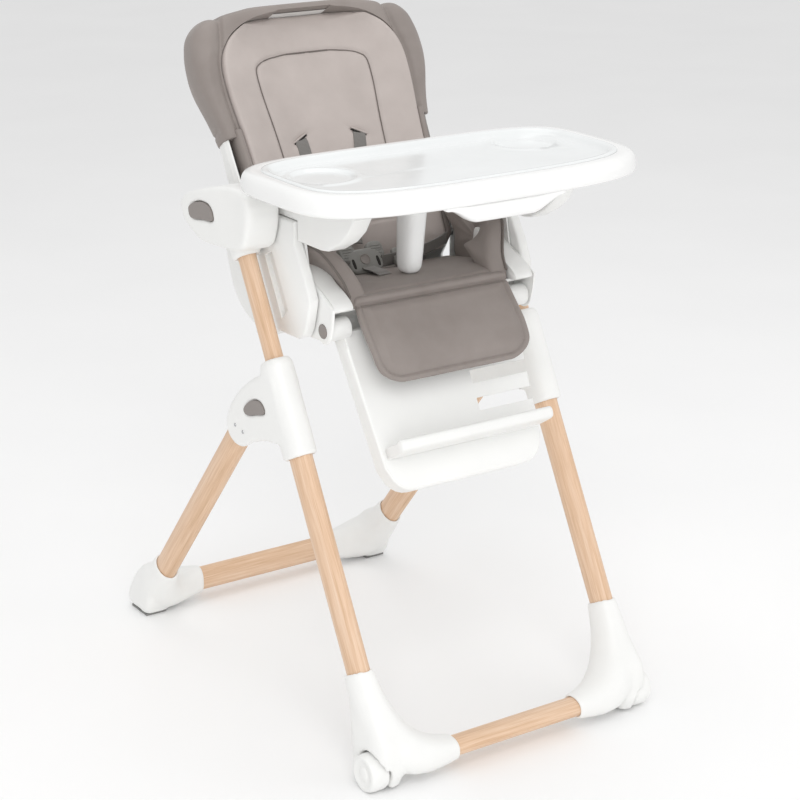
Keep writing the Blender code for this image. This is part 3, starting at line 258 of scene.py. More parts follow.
def woven_webbing():
    """Polyester harness webbing: a dense basket weave with matt threads."""
    made, tree, shader = finish_of("polyester_webbing", "#7c7975", IOR=1.5, Sheen_Weight=0.25,
                                   Sheen_Roughness=0.5)
    # Threads are 0.5 mm; the weave is drawn at about 1 mm so that it shows.
    ways = [node(tree, "ShaderNodeTexWave", {"bands_direction": way},
                 Vector=object_space(tree, (0.0060,) * 3),
                 Scale=1.0, Distortion=0.3) for way in ("X", "Z")]
    weave = node(tree, "ShaderNodeMath", {"operation": "MULTIPLY"}, i0=ways[0].outputs["Fac"],
                 i1=ways[1].outputs["Fac"])
    tinted(tree, shader, weave.outputs["Value"], [(0.1, "#74716d"), (0.8, "#858280")])
    rough_between(tree, shader, weave.outputs["Value"], 0.85, 0.70)
    bumped(tree, shader, weave.outputs["Value"], 0.0002)
    return made


def plated_steel():
    """Zinc-plated steel pins and axles: bright, faintly brushed round their length."""
    made, tree, shader = finish_of("zinc_plated_steel", "#b9babb", Metallic=1.0, Roughness=0.30)
    brushed = node(tree, "ShaderNodeTexNoise", Vector=object_space(tree, (0.0006, 0.01, 0.01)), Scale=1.0,
                   Detail=3.0)
    rough_between(tree, shader, brushed.outputs["Fac"], 0.24, 0.40)
    bumped(tree, shader, brushed.outputs["Fac"], 0.00004)
    return made


WHITE = moulded_plastic("white_polypropylene", "#f2f2f0", "#efefed", 0.36, 0.46, 0.0012, 0.00006)
TRAY = moulded_plastic("gloss_white_abs", "#f3f3f2", "#f0f0ef", 0.16, 0.22, 0.0200, 0.00004)
LINER = moulded_plastic("gloss_liner_polypropylene", "#eceeee", "#e9ebeb", 0.12, 0.20, 0.0250, 0.00005)
BUTTON = moulded_plastic("grey_taupe_abs", "#8f8884", "#8b8480", 0.42, 0.52, 0.0010, 0.00008)
BUCKLE = moulded_plastic("grey_acetal", "#8c8b87", "#868581", 0.40, 0.50, 0.0011, 0.00008)
# Painted shade: this near-black finish fills the strap slits and the buckle's prong slots, standing in for
# the shade inside these openings.
PAINTED_SLOT_SHADE = moulded_plastic("painted_slot_shade", "#2b2826", "#262321", 0.80, 0.90, 0.0020, 0.00010)
RUBBER = moulded_plastic("grey_foot_rubber", "#8f8e8c", "#888785", 0.70, 0.82, 0.0015, 0.00015)
STEEL = plated_steel()
BEECH_FRONT = printed_beech("printed_beech_front_legs", (-LEG_LEAN, 0, 0))
BEECH_REAR = printed_beech("printed_beech_rear_legs", (REAR_LEAN, 0, 0))
BEECH_BAR = printed_beech("printed_beech_bars", (0, radians(90), 0))
COVER = coated_fabric("taupe_coated_fabric", "#8f8681", "#8a817c", "#948b86")
INSERT = coated_fabric("light_warm_grey_coated_fabric", "#bbb1ac", "#b6aca7", "#c0b6b1")
THREAD = coated_fabric("taupe_piping_fabric", "#6f6762", "#6a625d", "#746c67")
WEBBING = woven_webbing()


# ------------------------------------------------------------------ making pieces
def skin(rings):
    """A closed skin: the face inside the first ring is drawn out through each ring in turn."""
    bm = bmesh.new()
    bmesh.ops.create_circle(bm, cap_ends=True, segments=len(rings[0]), radius=1.0)
    bm.faces.ensure_lookup_table()
    face = bm.faces[0]
    for k, ring in enumerate(rings):
        if k:
            drawn = bmesh.ops.extrude_face_region(bm, geom=[face])
            if k > 1:
                bmesh.ops.delete(bm, geom=[face], context="FACES_ONLY")
            face = next(item for item in drawn["geom"] if isinstance(item, bmesh.types.BMFace))
        for vert, point in zip(face.verts, ring):
            vert.co = point
    bmesh.ops.recalc_face_normals(bm, faces=bm.faces)
    return bm


def finished(name, bm, look, body, *stands_for, sharp=40):
    """Turns a bmesh in design coordinates into a piece that rides on a body."""
    bmesh.ops.translate(bm, vec=TO_FRAME, verts=bm.verts)
    bmesh.ops.recalc_face_normals(bm, faces=bm.faces)
    mesh = bpy.data.meshes.new(name)
    bm.to_mesh(mesh)
    bm.free()
    mesh.shade_smooth()
    mesh.set_sharp_from_angle(angle=radians(sharp))
    obj = bpy.data.objects.new(name, mesh)
    bpy.context.scene.collection.objects.link(obj)
    mesh.materials.append(look)
    if stands_for:
        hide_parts(*stands_for)
    if body:
        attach(obj, body)
    return obj


def paint(look, *nodes):
    """Gives CAD nodes that stay a better material."""
    for name in nodes:
        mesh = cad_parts[name].data
        mesh.materials.clear()
        mesh.materials.append(look)


def merged_copy(name):
    """A CAD node's mesh, in design coordinates, with its loose triangles joined."""
    bm = bmesh.new()
    bm.from_mesh(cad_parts[name].data)
    bmesh.ops.remove_doubles(bm, verts=bm.verts, dist=1e-5)
    bmesh.ops.translate(bm, vec=-TO_FRAME, verts=bm.verts)
    return bm


def remeshed(bm, voxel):
    """The same solid as an even, closed skin of small squares."""
    mesh = bpy.data.meshes.new("even")
    bm.to_mesh(mesh)
    bm.free()
    obj = bpy.data.objects.new("even", mesh)
    bpy.context.scene.collection.objects.link(obj)
    step = obj.modifiers.new("even", "REMESH")
    step.mode, step.voxel_size = "VOXEL", voxel
    even = bpy.data.meshes.new_from_object(obj.evaluated_get(bpy.context.evaluated_depsgraph_get()))
    found = bmesh.new()
    found.from_mesh(even)
    bpy.data.objects.remove(obj)
    for used in (mesh, even):
        bpy.data.meshes.remove(used)
    return found


def softened(name, voxel, rounds):
    """A moulded form: the CAD solid with its joints and edges flowed into each other."""
    bm = remeshed(merged_copy(name), voxel)
    for _ in range(rounds):
        bmesh.ops.smooth_vert(bm, verts=bm.verts, factor=0.5, use_axis_x=True, use_axis_y=True,
                              use_axis_z=True)
    return bm


# ------------------------------------------------------------------ frame: tubes, feet, hubs, wheels
TUBE, SLIDE_TUBE = (0.048, 0.034), (0.038, 0.027)
FRONT_BAR, REAR_BAR = (0.042, 0.030), (0.031, 0.046)


def tube(name, look, body, start, end, across, along, size):
    middle = [mix(start, end, k / 12) for k in range(13)]
    rings = [oval(point, across, along, size, 56) for point in middle]
    finished(name + "_tube", skin(rings), look, body, name)


def tubes():
    for word, side in SIDES:
        x = side * LEG_X
        tube(f"front_leg_{word}", BEECH_FRONT, "front_frame", leg_point(0.085, x=x), leg_point(0.6545, x=x),
             LEG_AHEAD, X_AXIS, TUBE)
        tube(f"rear_leg_{word}", BEECH_REAR, "rear_frame", rear_point(0.034, x=x), rear_point(0.582, x=x),
             REAR_BEHIND, X_AXIS, TUBE)
        tube(f"slide_tube_{word}", BEECH_FRONT, "seat", leg_point(0.440, x=x), leg_point(0.9545, x=x),
             LEG_AHEAD, X_AXIS, SLIDE_TUBE)
    for name, body, y, z, half, size in (("front_crossbar", "front_frame", -0.404, 0.040, 0.150, FRONT_BAR),
                                         ("rear_crossbar", "rear_frame", 0.398, 0.0385, 0.168, REAR_BAR)):
        tube(name, BEECH_BAR, body, Vector((-half, y, z)), Vector((half, y, z)), Y_AXIS, Z_AXIS, size)


def moulded_frame():
    for word, side in SIDES:
        finished(f"front_foot_{word}_shell", softened(f"front_foot_{word}", 0.0030, 10), WHITE,
                 "front_frame",
                 f"front_foot_{word}", sharp=60)
        finished(f"rear_foot_{word}_shell", softened(f"rear_foot_{word}", 0.0030, 10), WHITE, "rear_frame",
                 f"rear_foot_{word}", sharp=60)
        finished(f"mid_hub_{word}_shell", softened(f"mid_hub_{word}", 0.0022, 5), WHITE, "front_frame",
                 f"mid_hub_{word}", sharp=60)
        finished(f"upper_hub_{word}_shell", softened(f"upper_hub_{word}", 0.0025, 6), WHITE, "seat",
                 f"upper_hub_{word}", sharp=60)


def hub_rivets():
    for word, side in SIDES:
        for k, (y, z) in enumerate(((0.009, 0.487), (-0.016, 0.482))):
            levels = ((0.0240, 0.0062), (0.0252, 0.0062), (0.0262, 0.0052), (0.0265, 0.0025))
            head = skin([oval(Vector((side * (LEG_X + out), y, z)), Y_AXIS, Z_AXIS, (wide, wide), 24)
                         for out, wide in levels])
            finished(f"hub_rivet_{word}_{k}", head, STEEL, "front_frame", sharp=50)


def wheels():
    """Plain white castors with a rolled tread edge, a dished face and a centre cap."""
    profile = [(0.0, 0.246), (0.020, 0.246), (0.0262, 0.2466), (0.0292, 0.2485), (0.0306, 0.2520),
               (0.0310, 0.2600),
               (0.0310, 0.2680), (0.0304, 0.2745), (0.0286, 0.2785), (0.0256, 0.2798), (0.0225, 0.2790),
               (0.0205, 0.2778), (0.0120, 0.2776), (0.0105, 0.2790), (0.0080, 0.2798), (0.0, 0.2800)]
    for word, side in SIDES:
        bm = bmesh.new()
        line = [bm.verts.new((side * x, -0.388, 0.031 + radius)) for radius, x in profile]
        edges = [bm.edges.new(pair) for pair in zip(line, line[1:])]
        bmesh.ops.spin(bm, geom=line + edges, cent=(0, -0.388, 0.031), axis=(1, 0, 0), angle=2 * pi,
                       steps=64,
                       use_merge=True, use_duplicate=False)
        bmesh.ops.remove_doubles(bm, verts=bm.verts, dist=1e-6)
        finished(f"wheel_{word}_tread", bm, WHITE, f"wheel_{word}", f"front_wheel_{word}")


# ------------------------------------------------------------------ quilted panels
def quilted(across, down, lay, thick, height, cells):
    """A padded panel. Its rows run from down[0] to down[1] with half width across(row), lay() puts a flat
    place on the body's curve and gives the way out of it, and height() is the padding by distance from
    the edge, place across and row."""
    bm = bmesh.new()
    bmesh.ops.create_grid(bm, x_segments=cells[0], y_segments=cells[1], size=1.0)
    flat = {}
    for vert in bm.verts:
        row = mix(down[0], down[1], (1 - cos(pi * (vert.co.y + 1) / 2)) / 2)
        flat[vert] = (vert.co.x * across(row), row)
    rim = [flat[v] for v in bm.verts if v.is_boundary]
    rim_array = np.array(rim)
    back = {}
    for vert, (x, row) in flat.items():
        from_edge = float(np.hypot(rim_array[:, 0] - x, rim_array[:, 1] - row).min())
        point, out = lay(x, row)
        vert.co = point + out * height(from_edge, x, row)
        back[vert] = point - out * thick
    faces = list(bm.faces)
    places = {tuple(round(c, 7) for c in v.co): back[v] for v in bm.verts}
    made = bmesh.ops.extrude_face_region(bm, geom=faces, use_keep_orig=True)
    for item in made["geom"]:
        if isinstance(item, bmesh.types.BMVert):
            item.co = places[tuple(round(c, 7) for c in item.co)]
    bmesh.ops.recalc_face_normals(bm, faces=bm.faces)
    return bm


def rolled(from_edge, radius):
    """How far a rolled edge has dropped at a distance from the rim."""
    if from_edge >= radius:
        return 0.0
    return radius - (radius ** 2 - (radius - from_edge) ** 2) ** 0.5


INSERT_LEVELS = [(0.014, 0.148), (0.022, 0.156), (0.040, 0.1605), (0.120, 0.165), (0.240, 0.171),
                 (0.330, 0.178),
                 (0.380, 0.174), (0.415, 0.154), (0.436, 0.124), (0.447, 0.092), (0.4535, 0.050)]
INSERT_FOOT, INSERT_TOP = INSERT_LEVELS[0][0], INSERT_LEVELS[-1][0]
SEAM_IN = 0.068              # from the insert's rim to its sewn line
STRAP_SLOT = (0.0575, 0.2365, radians(27))    # across, up, and how far its inner end is raised


def insert_half(up):
    return eased(INSERT_LEVELS, up)[0]


def insert_front(x, up):
    """How far ahead the insert's base surface is: it wraps forward towards its sides."""
    return -0.006 + 0.034 * min(abs(x) / max(insert_half(up), 0.12), 1.0) ** 3


def slot_away(x, up):
    """Distance from the middle line of a strap slot, and the place along it."""
    dx, du = abs(x) - STRAP_SLOT[0], up - STRAP_SLOT[1]
    c, s = cos(STRAP_SLOT[2]), sin(STRAP_SLOT[2])
    return abs(dx * s + du * c), dx * c - du * s


def back_insert():
    def lay(x, up):
        return back_point(up, insert_front(x, up), x), BACK_AHEAD

    def height(edge, x, up):
        crown = 0.0085 * (1 - exp(-edge / 0.016)) - 0.8 * rolled(edge, 0.0075)
        seam = 0.0036 * bell(edge - SEAM_IN, 0.0032) * ramp(up, 0.02, 0.06)
        away, along = slot_away(x, up)
        dent = 0.0050 * bell(away, 0.0060) * bell(along, 0.020)
        return 0.004 + crown - seam - dent

    bm = quilted(insert_half, (INSERT_FOOT, INSERT_TOP), lay, 0.020, height, (150, 170))
    liner = finished("back_insert_pad", bm, INSERT, "backrest", "back_insert", sharp=70)
    # The sewn line keeps its distance from the rim, so each rim point is moved straight inwards.
    rim = [Vector((insert_half(up), up)) for up in np.linspace(0.05, INSERT_TOP, 70)]
    rim += [Vector((rim[-1].x * (1 - k / 12), INSERT_TOP)) for k in range(1, 13)]
    right = []
    for k in range(1, len(rim) - 1):
        way = (rim[k + 1] - rim[k - 1]).normalized()
        place = rim[k] + Vector((-way.y, way.x)) * SEAM_IN
        clear = min((place - other).length for other in rim)
        if clear > SEAM_IN - 0.0012 and place.x > 0:
            right.append(place)
    right.sort(key=lambda p: (p.y, -p.x))
    both = right + [Vector((-p.x, p.y)) for p in right[::-1]]
    line = [back_point(p.y, insert_front(p.x, p.y) + 0.0098, p.x) for p in both]
    piping("insert_stitching", line, 0.0010, "backrest")
    for word, side in SIDES:
        c, s = cos(STRAP_SLOT[2]), sin(STRAP_SLOT[2])
        along = X_AXIS * (side * c) - BACK_UP * s
        across = X_AXIS * (side * s) + BACK_UP * c
        centre = back_point(STRAP_SLOT[1], 0.0045, side * STRAP_SLOT[0])
        levels = [(-0.0030, 0.5), (0.0010, 1.0), (0.0022, 0.94), (0.0028, 0.6)]
        # The dark lens in each strap slit is painted shade for the inside of the opening.
        slit = skin([oval(centre + BACK_AHEAD * n, along, across, (0.033 * g, 0.0036 * g), 32, 2.6) for n,
                     g in levels])
        finished(f"strap_slot_{word}", slit, PAINTED_SLOT_SHADE, "backrest", sharp=60)
        lip = centre + across * 0.0030
        tape = skin([oval(lip + BACK_AHEAD * n, along, across, (0.036 * g, 0.0030 * g), 32, 3.0)
                     for n, g in [(-0.0030, 0.9), (0.0016, 1.0), (0.0030, 0.95), (0.0036, 0.7)]])
        finished(f"strap_slot_lip_{word}", tape, INSERT, "backrest", sharp=60)


# ------------------------------------------------------------------ the hood over the backrest
HOOD_LEVELS = [(0.250, 0.2000, 0.1015, 0.0), (0.256, 0.2015, 0.1030, 0.0), (0.300, 0.2075, 0.1055, 0.0),
               (0.342, 0.2125, 0.1035, 0.0), (0.385, 0.2125, 0.1000, 0.0), (0.412, 0.2085, 0.0965, 0.03),
               (0.436, 0.2000, 0.0930, 0.07), (0.456, 0.1790, 0.0890, 0.12), (0.468, 0.1500, 0.0850, 0.14),
               (0.4755, 0.1100, 0.0780, 0.15)]
SEAM_LEVELS = [(0.200, 0.1745), (0.240, 0.1765), (0.330, 0.1835), (0.380, 0.1790), (0.400, 0.1720),
               (0.430, 0.1650),
               (0.480, 0.1550)]


def hood_ring(up, half, behind, tilt, count=280):
    points = []
    for i in range(count):
        c, s = cos(2 * pi * i / count), sin(2 * pi * i / count)
        bend, reach = (5.0, 0.031) if s >= 0 else (2.1, behind)
        x = half * abs(c) ** (2 / bend) * (1 if c >= 0 else -1)
        n = reach * abs(s) ** (2 / bend) * (1 if s >= 0 else -1)
        points.append(back_point(up - tilt * (n + 0.068), n, x))
    return points


def insert_room():
    """The space the insert sits in, a little larger than the insert and open to the front."""
    rings = []
    for k in range(60):
        up = mix(0.18, 0.4548, 1 - (1 - k / 59) ** 1.6)
        edge = insert_half(min(up, INSERT_TOP)) + 0.0018
        corners = ((-edge, 0.20), (edge, 0.20), (edge, -0.020), (-edge, -0.020))
        rings.append([back_point(up, ahead, x) for x, ahead in corners])
    return skin(rings)


def opened(bm, room, voxel):
    """An evenly skinned solid with another one taken out of it."""
    pair = []
    for part in (remeshed(bm, voxel), room):
        bmesh.ops.recalc_face_normals(part, faces=part.faces)
        mesh = bpy.data.meshes.new("opening")
        part.to_mesh(mesh)
        part.free()
        obj = bpy.data.objects.new("opening", mesh)
        bpy.context.scene.collection.objects.link(obj)
        pair.append(obj)
    step = pair[0].modifiers.new("opening", "BOOLEAN")
    step.operation, step.solver, step.object = "DIFFERENCE", "EXACT", pair[1]
    even = bpy.data.meshes.new_from_object(pair[0].evaluated_get(bpy.context.evaluated_depsgraph_get()))
    found = bmesh.new()
    found.from_mesh(even)
    for obj in pair:
        bpy.data.objects.remove(obj)
    return found


def back_hood():
    rings = [hood_ring(up, *eased(HOOD_LEVELS, up))
             for up in np.linspace(HOOD_LEVELS[0][0], HOOD_LEVELS[-1][0], 84)]
    top_half, top_behind, top_tilt = HOOD_LEVELS[-1][1:]
    for k in range(1, 7):
        share = cos(k / 7 * pi / 2)
        centre = back_point(0.4755 - top_tilt * 0.044, -0.0235, 0)
        lift = BACK_UP * (0.0035 * sin(k / 7 * pi / 2))
        rings.append([centre + (p - centre) * share + lift
                      for p in hood_ring(0.4755, top_half, top_behind, top_tilt)])
    bm = skin(rings)
    bm.normal_update()
    moves = []
    for vert in bm.verts:
        offset = vert.co - BACK_ORIGIN
        up, n, x = offset.dot(BACK_UP), offset.dot(BACK_AHEAD), abs(vert.co.x)
        seam_x = eased(SEAM_LEVELS, min(max(up, 0.2), 0.48))[0]
        wing = ramp(x, seam_x + 0.001, seam_x + 0.022)
        puff = 0.010 * wing * ramp(up, 0.262, 0.37) * ramp(n, -0.098, -0.05)
        crown = 0.003 * (1 - wing) * ramp(up, 0.41, 0.45)
        seam = 0.0062 * bell(x - seam_x, 0.0045) * ramp(n, -0.085, -0.055)
        rear_seam = 0.0028 * bell(n + 0.070 + 0.05 * (up - 0.35), 0.0026) * ramp(x, 0.10, 0.14)
        hem = 0.0035 * bell(up - 0.268, 0.0022) * ramp(-n, -0.01, 0.0)
        moves.append((vert, vert.co + vert.normal * (puff + crown - seam - rear_seam - hem)))
    for vert, place in moves:
        vert.co = place
    hood = finished("back_hood", opened(bm, insert_room(), 0.0022), COVER, "backrest", "back_cover",
                    sharp=50)
    for word, side in SIDES:
        rings = []
        for k in range(46):
            up = mix(0.020, 0.262, k / 45)
            inner, outer = insert_half(up) + 0.0005, insert_half(up) + 0.0120
            ends = 1 - 0.6 * (1 - ramp(k, 0, 3))
            centre = back_point(up, 0.0105, side * (inner + outer) / 2)
            rings.append(oval(centre, X_AXIS, BACK_AHEAD, ((outer - inner + 0.003) * ends, 0.038 * ends),
                              40, 3.2))
        strip = finished(f"back_edge_{word}", skin(rings), COVER, "backrest", sharp=75)


# ------------------------------------------------------------------ seat cushion, wings, calf flap
SEAT_ROWS = [(0.0, -0.1700, 0.7165), (0.008, -0.1640, 0.7210), (0.030, -0.1430, 0.7240),
             (0.060, -0.1130, 0.7250),
             (0.120, -0.0540, 0.7180), (0.180, 0.0050, 0.7075), (0.202, 0.0260, 0.7000)]
SEAT_LENGTH = SEAT_ROWS[-1][0]


def seat_half(row):
    return mix(0.1470, 0.1700, ramp(row, 0.0, 0.10))


def wing_shift(y):
    """How far a wing comes in towards the middle at the front of the seat."""
    return 0.034 * ramp(-y, 0.06, 0.165)


def seat_cushion():
    def lay(x, row):
        y, z = eased(SEAT_ROWS, row)
        ahead = eased(SEAT_ROWS, min(row + 0.004, SEAT_LENGTH))
        behind = eased(SEAT_ROWS, max(row - 0.004, 0.0))
        way = Vector((0, ahead[0] - behind[0], ahead[1] - behind[1])).normalized()
        return Vector((x, y, z)), Vector((0, -way.z, way.y))

    def height(edge, x, row):
        crown = 0.0060 * (1 - exp(-edge / 0.022)) - 0.7 * rolled(edge, 0.008)
        dish = 0.0035 * bell(abs(x) - 0.075, 0.060) * bell(row - 0.115, 0.060)
        welt = 0.0022 * bell(row - 0.016, 0.0030)
        return crown - dish - welt

    bm = quilted(seat_half, (0.0, SEAT_LENGTH), lay, 0.016, height, (130, 90))
    pad = finished("seat_cushion", bm, COVER, "seat", "seat_pad", sharp=70)
    for word, side in SIDES:
        head, foot = back_point(0.095, 0.040), back_point(0.0, 0.040)
        outline = [Vector((0, y, z)) for y, z in
                   ((-0.1645, 0.7080), (-0.1610, 0.7230), (-0.1450, 0.7480), (-0.1240, 0.7800),
                    (-0.1050, 0.7960),
                    (-0.0700, 0.8060), (-0.0400, 0.8070), (-0.0100, 0.8060), (head.y, head.z),
                    (0.0010, 0.7560),
                    (foot.y, foot.z), (-0.0200, 0.7040), (-0.0600, 0.7020), (-0.1200, 0.7060))]
        loop = smooth_line(outline + outline[:1], 8)[:-1]
        middle = sum(loop, Vector()) / len(loop)
        rings = []
        for x, drop in ((0.158, 0.30), (0.1545, 0.055), (0.1540, 0.012), (0.1555, 0.0045), (0.1590, 0.0010),
                        (0.1640, 0.0), (0.1720, 0.0), (0.1800, 0.0), (0.1840, 0.0012), (0.1865, 0.0045),
                        (0.1880, 0.012), (0.1870, 0.055), (0.1850, 0.30)):
            ring = []
            for point in loop:
                away = middle - point
                pull = min(drop, 0.045) if drop < 0.3 else 0.9 * away.length
                lean = 0.010 * ramp(point.z, 0.735, 0.800) * (1 - ramp(point.y, -0.02, 0.02))
                across = side * (x + lean - wing_shift(point.y))
                ring.append(point + away.normalized() * pull + X_AXIS * across)
            rings.append(ring)
        wing = finished(f"seat_wing_{word}", skin(rings), COVER, "seat", sharp=75)
        edge = [p + X_AXIS * (side * (0.1850 + 0.010 * ramp(p.z, 0.735, 0.800) - wing_shift(p.y)))
                for p in outline[1:8]]
        piping(f"seat_wing_piping_{word}", smooth_line(edge, 8), 0.0022, "seat")


def seat_shoulders():
    """White corners of the seat pan that stand beside the front of the wings."""
    outline = [(-0.152, 0.7090), (-0.168, 0.7070), (-0.180, 0.7120), (-0.172, 0.7225), (-0.150, 0.7340),
               (-0.128, 0.7430), (-0.108, 0.7540), (-0.084, 0.7660), (-0.060, 0.7700), (-0.060, 0.7060),
               (-0.100, 0.7075)]
    loop = smooth_line([Vector((0, y, z)) for y, z in outline + outline[:1]], 6)[:-1]
    middle = sum(loop, Vector()) / len(loop)
    for word, side in SIDES:
        rings = []
        for x, drop in ((0.157, 0.5), (0.157, 0.03), (0.1585, 0.0), (0.1900, 0.0), (0.1918, 0.03),
                        (0.1922, 0.5)):
            rings.append([mix(p, middle, drop) + X_AXIS * (side * x) for p in loop])
        finished(f"seat_shoulder_{word}", skin(rings), WHITE, "seat", sharp=50)


def piping(name, line, radius, body):
    """A sewn cord in a fabric cover, along a line."""
    rings = []
    for i, point in enumerate(line):
        way = (line[min(i + 1, len(line) - 1)] - line[max(i - 1, 0)]).normalized()
        side = way.cross(X_AXIS if abs(way.x) < 0.9 else Z_AXIS).normalized()
        end = 0.55 if i in (0, len(line) - 1) else 1.0
        rings.append(oval(point, side, way.cross(side), (2 * radius * end, 2 * radius * end), 12))
    return finished(name, skin(rings), THREAD, body, sharp=80)


FLAP_ROWS = [(0.0, -0.1600, 0.7160, 0.1440), (0.012, -0.1700, 0.7095, 0.1455),
             (0.034, -0.1835, 0.6920, 0.1470),
             (0.060, -0.2010, 0.6725, 0.1480), (0.086, -0.2185, 0.6530, 0.1480),
             (0.112, -0.2330, 0.6310, 0.1465),
             (0.128, -0.2390, 0.6160, 0.1440), (0.144, -0.2415, 0.6000, 0.1380)]
FLAP_ROUND = 0.036           # radius of the flap's lower corners
FLAP_LENGTH = FLAP_ROWS[-1][0]


def flap_half(row):
    half = eased(FLAP_ROWS, row)[2]
    low = max(row - (FLAP_LENGTH - FLAP_ROUND), 0.0)
    return half - FLAP_ROUND + max(FLAP_ROUND ** 2 - low ** 2, 1e-7) ** 0.5


def calf_flap():
    def lay(x, row):
        y, z = eased(FLAP_ROWS, row)[:2]
        after, before = eased(FLAP_ROWS, min(row + 0.004, FLAP_LENGTH)), eased(FLAP_ROWS,
                                                                               max(row - 0.004, 0.0))
        way = Vector((0, after[0] - before[0], after[1] - before[1])).normalized()
        return Vector((x, y, z)), Vector((0, way.z, -way.y))

    def height(edge, x, row):
        inner = ramp(edge, 0.0085, 0.0260)
        rim = 0.0022 * (1 - ramp(edge, 0.0070, 0.0095)) - 0.55 * rolled(edge, 0.0040)
        groove = 0.0016 * bell(edge - 0.0090, 0.0016)
        crease = 0.0030 * bell(row - 0.010, 0.0035)
        return 0.0005 + 0.0040 * inner + rim - groove - crease

    bm = quilted(flap_half, (0.0, FLAP_LENGTH), lay, 0.0060, height, (140, 90))
    flap = finished("calf_flap", bm, COVER, None, "calf_pad", sharp=70)
    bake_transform(flap)


# ------------------------------------------------------------------ harness
def band(name, points, width, thick, across, body, *stands_for):
    """Flat webbing with soft edges along a smooth line."""
    line = smooth_line(points, 10)
    rings = []
    for i, point in enumerate(line):
        way = (line[min(i + 1, len(line) - 1)] - line[max(i - 1, 0)]).normalized()
        side = (across - way * across.dot(way)).normalized()
        rings.append(oval(point, side, way.cross(side).normalized(), (width, thick), 28, 4.5))
    return finished(name, skin(rings), WEBBING, body, *stands_for, sharp=50)


BUCKLE_X = -0.036
BUCKLE_AT = Vector((BUCKLE_X, -0.0190, 0.7345))
BUCKLE_OUT = Vector((0, -0.796, 0.605))
BUCKLE_UP = Vector((0, 0.605, 0.796))


def buckle_block(centre, size, levels, power=3.2, count=48):
    """A rounded block on the buckle's plane; levels are (out, shrink)."""
    return skin([oval(centre + BUCKLE_OUT * out, X_AXIS, BUCKLE_UP, (size[0] - shrink, size[1] - shrink),
                      count, power)
                 for out, shrink in levels])


def harness():
    for word, side in SIDES:
        shoulder = [back_point(up, ahead, side * x + BUCKLE_X * share) for up, ahead, x, share in
                    ((0.2360, -0.004, 0.0575, 0.0), (0.2335, 0.0065, 0.0570, 0.0),
                     (0.180, 0.0100, 0.0500, 0.20),
                     (0.110, 0.0115, 0.0370, 0.60), (0.066, 0.0150, 0.0270, 0.95),
                     (0.046, 0.0200, 0.0220, 1.0))]
        strap = band(f"shoulder_webbing_{word}", shoulder, 0.0235, 0.0026, X_AXIS, None,
                     f"shoulder_strap_{word}")
        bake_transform(strap)
        lap = [Vector((side * x + BUCKLE_X * share, y, z)) for x, y, z, share in
               ((0.146, 0.004, 0.7440, 0.0), (0.120, -0.004, 0.7370, 0.15), (0.094, -0.014, 0.7330, 0.5),
                (0.064, -0.021, 0.7315, 0.9), (0.030, -0.024, 0.7315, 1.0))]
        band(f"lap_webbing_{word}", lap, 0.0235, 0.0026, Vector((0, -0.35, 1)), "seat", f"lap_strap_{word}")
        slider = Vector((side * 0.066 + BUCKLE_X, -0.0215, 0.7325))
        bm = skin([oval(slider + BUCKLE_OUT * out, X_AXIS, BUCKLE_UP, (0.020 - g, 0.031 - g), 40, 4.0)
                   for out, g in ((-0.0030, 0.003), (-0.0022, 0.0), (0.0038, 0.0), (0.0052, 0.0018),
                                  (0.0056, 0.006))])
        finished(f"lap_slider_{word}", bm, BUCKLE, "seat", sharp=50)
        prong = Vector((BUCKLE_X + side * 0.0270, BUCKLE_AT.y, BUCKLE_AT.z)) + BUCKLE_UP * 0.0150
        bm = skin([oval(prong + BUCKLE_OUT * out, X_AXIS, BUCKLE_UP, (0.0300 - g, 0.0300 - g), 40, 3.4)
                   for out, g in ((-0.0050, 0.003), (-0.0040, 0.0), (0.0046, 0.0), (0.0064, 0.002),
                                  (0.0070, 0.007))])
        finished(f"buckle_prong_{word}", bm, BUCKLE, "seat", sharp=50)
        for k in range(4):
            rib = prong + BUCKLE_UP * (-0.0070 + 0.0046 * k) + BUCKLE_OUT * 0.0070
            bm = skin([oval(rib + X_AXIS * (side * dx), BUCKLE_UP, BUCKLE_OUT, (0.0022 * g, 0.0022 * g), 12)
                       for dx, g in ((-0.0095, 0.5), (-0.0085, 1.0), (0.0085, 1.0), (0.0095, 0.5))])
            finished(f"buckle_rib_{word}_{k}", bm, BUCKLE, "seat", sharp=60)
        slot = BUCKLE_AT + X_AXIS * (side * 0.0235) - BUCKLE_UP * 0.0060
        # The dark block in each prong slot is painted shade for the inside of the opening.
        bm = buckle_block(slot, (0.0055, 0.0180), ((0.0040, 0.0), (0.0084, 0.0), (0.0088, 0.0012)), 3.0, 24)
        finished(f"buckle_slot_shade_{word}", bm, PAINTED_SLOT_SHADE, "seat", sharp=50)
    body = buckle_block(BUCKLE_AT - BUCKLE_UP * 0.002, (0.0660, 0.0440),
                        ((-0.0080, 0.010), (-0.0072, 0.003), (-0.0055, 0.0), (0.0050, 0.0),
                         (0.0072, 0.0025),
                         (0.0082, 0.0080), (0.0080, 0.0280)), 3.0, 64)
    finished("buckle_body", body, BUCKLE, "seat", "harness_buckle", sharp=50)
    ring = BUCKLE_AT + BUCKLE_OUT * 0.0070
    bm = skin([oval(ring + BUCKLE_OUT * out, X_AXIS, BUCKLE_UP, (d, d), 48)
               for out, d in ((-0.0020, 0.0190), (0.0012, 0.0190), (0.0026, 0.0178), (0.0024, 0.0160),
                              (0.0012, 0.0150))])
    finished("buckle_press", bm, BUTTON, "buckle_release", "buckle_button", sharp=50)
    crotch = [Vector((BUCKLE_X, y, z)) for y, z in ((-0.0860, 0.7270), (-0.0700, 0.7290), (-0.0520, 0.7285),
                                             (-0.0380, 0.7275), (-0.0240, 0.7300))]
    band("crotch_webbing", crotch, 0.0240, 0.0026, X_AXIS, "seat", "crotch_strap")


# ------------------------------------------------------------------ tray
TRAY_Z, TRAY_HALF, TRAY_REAR, TRAY_FRONT = 0.934, 0.306, -0.044, -0.356


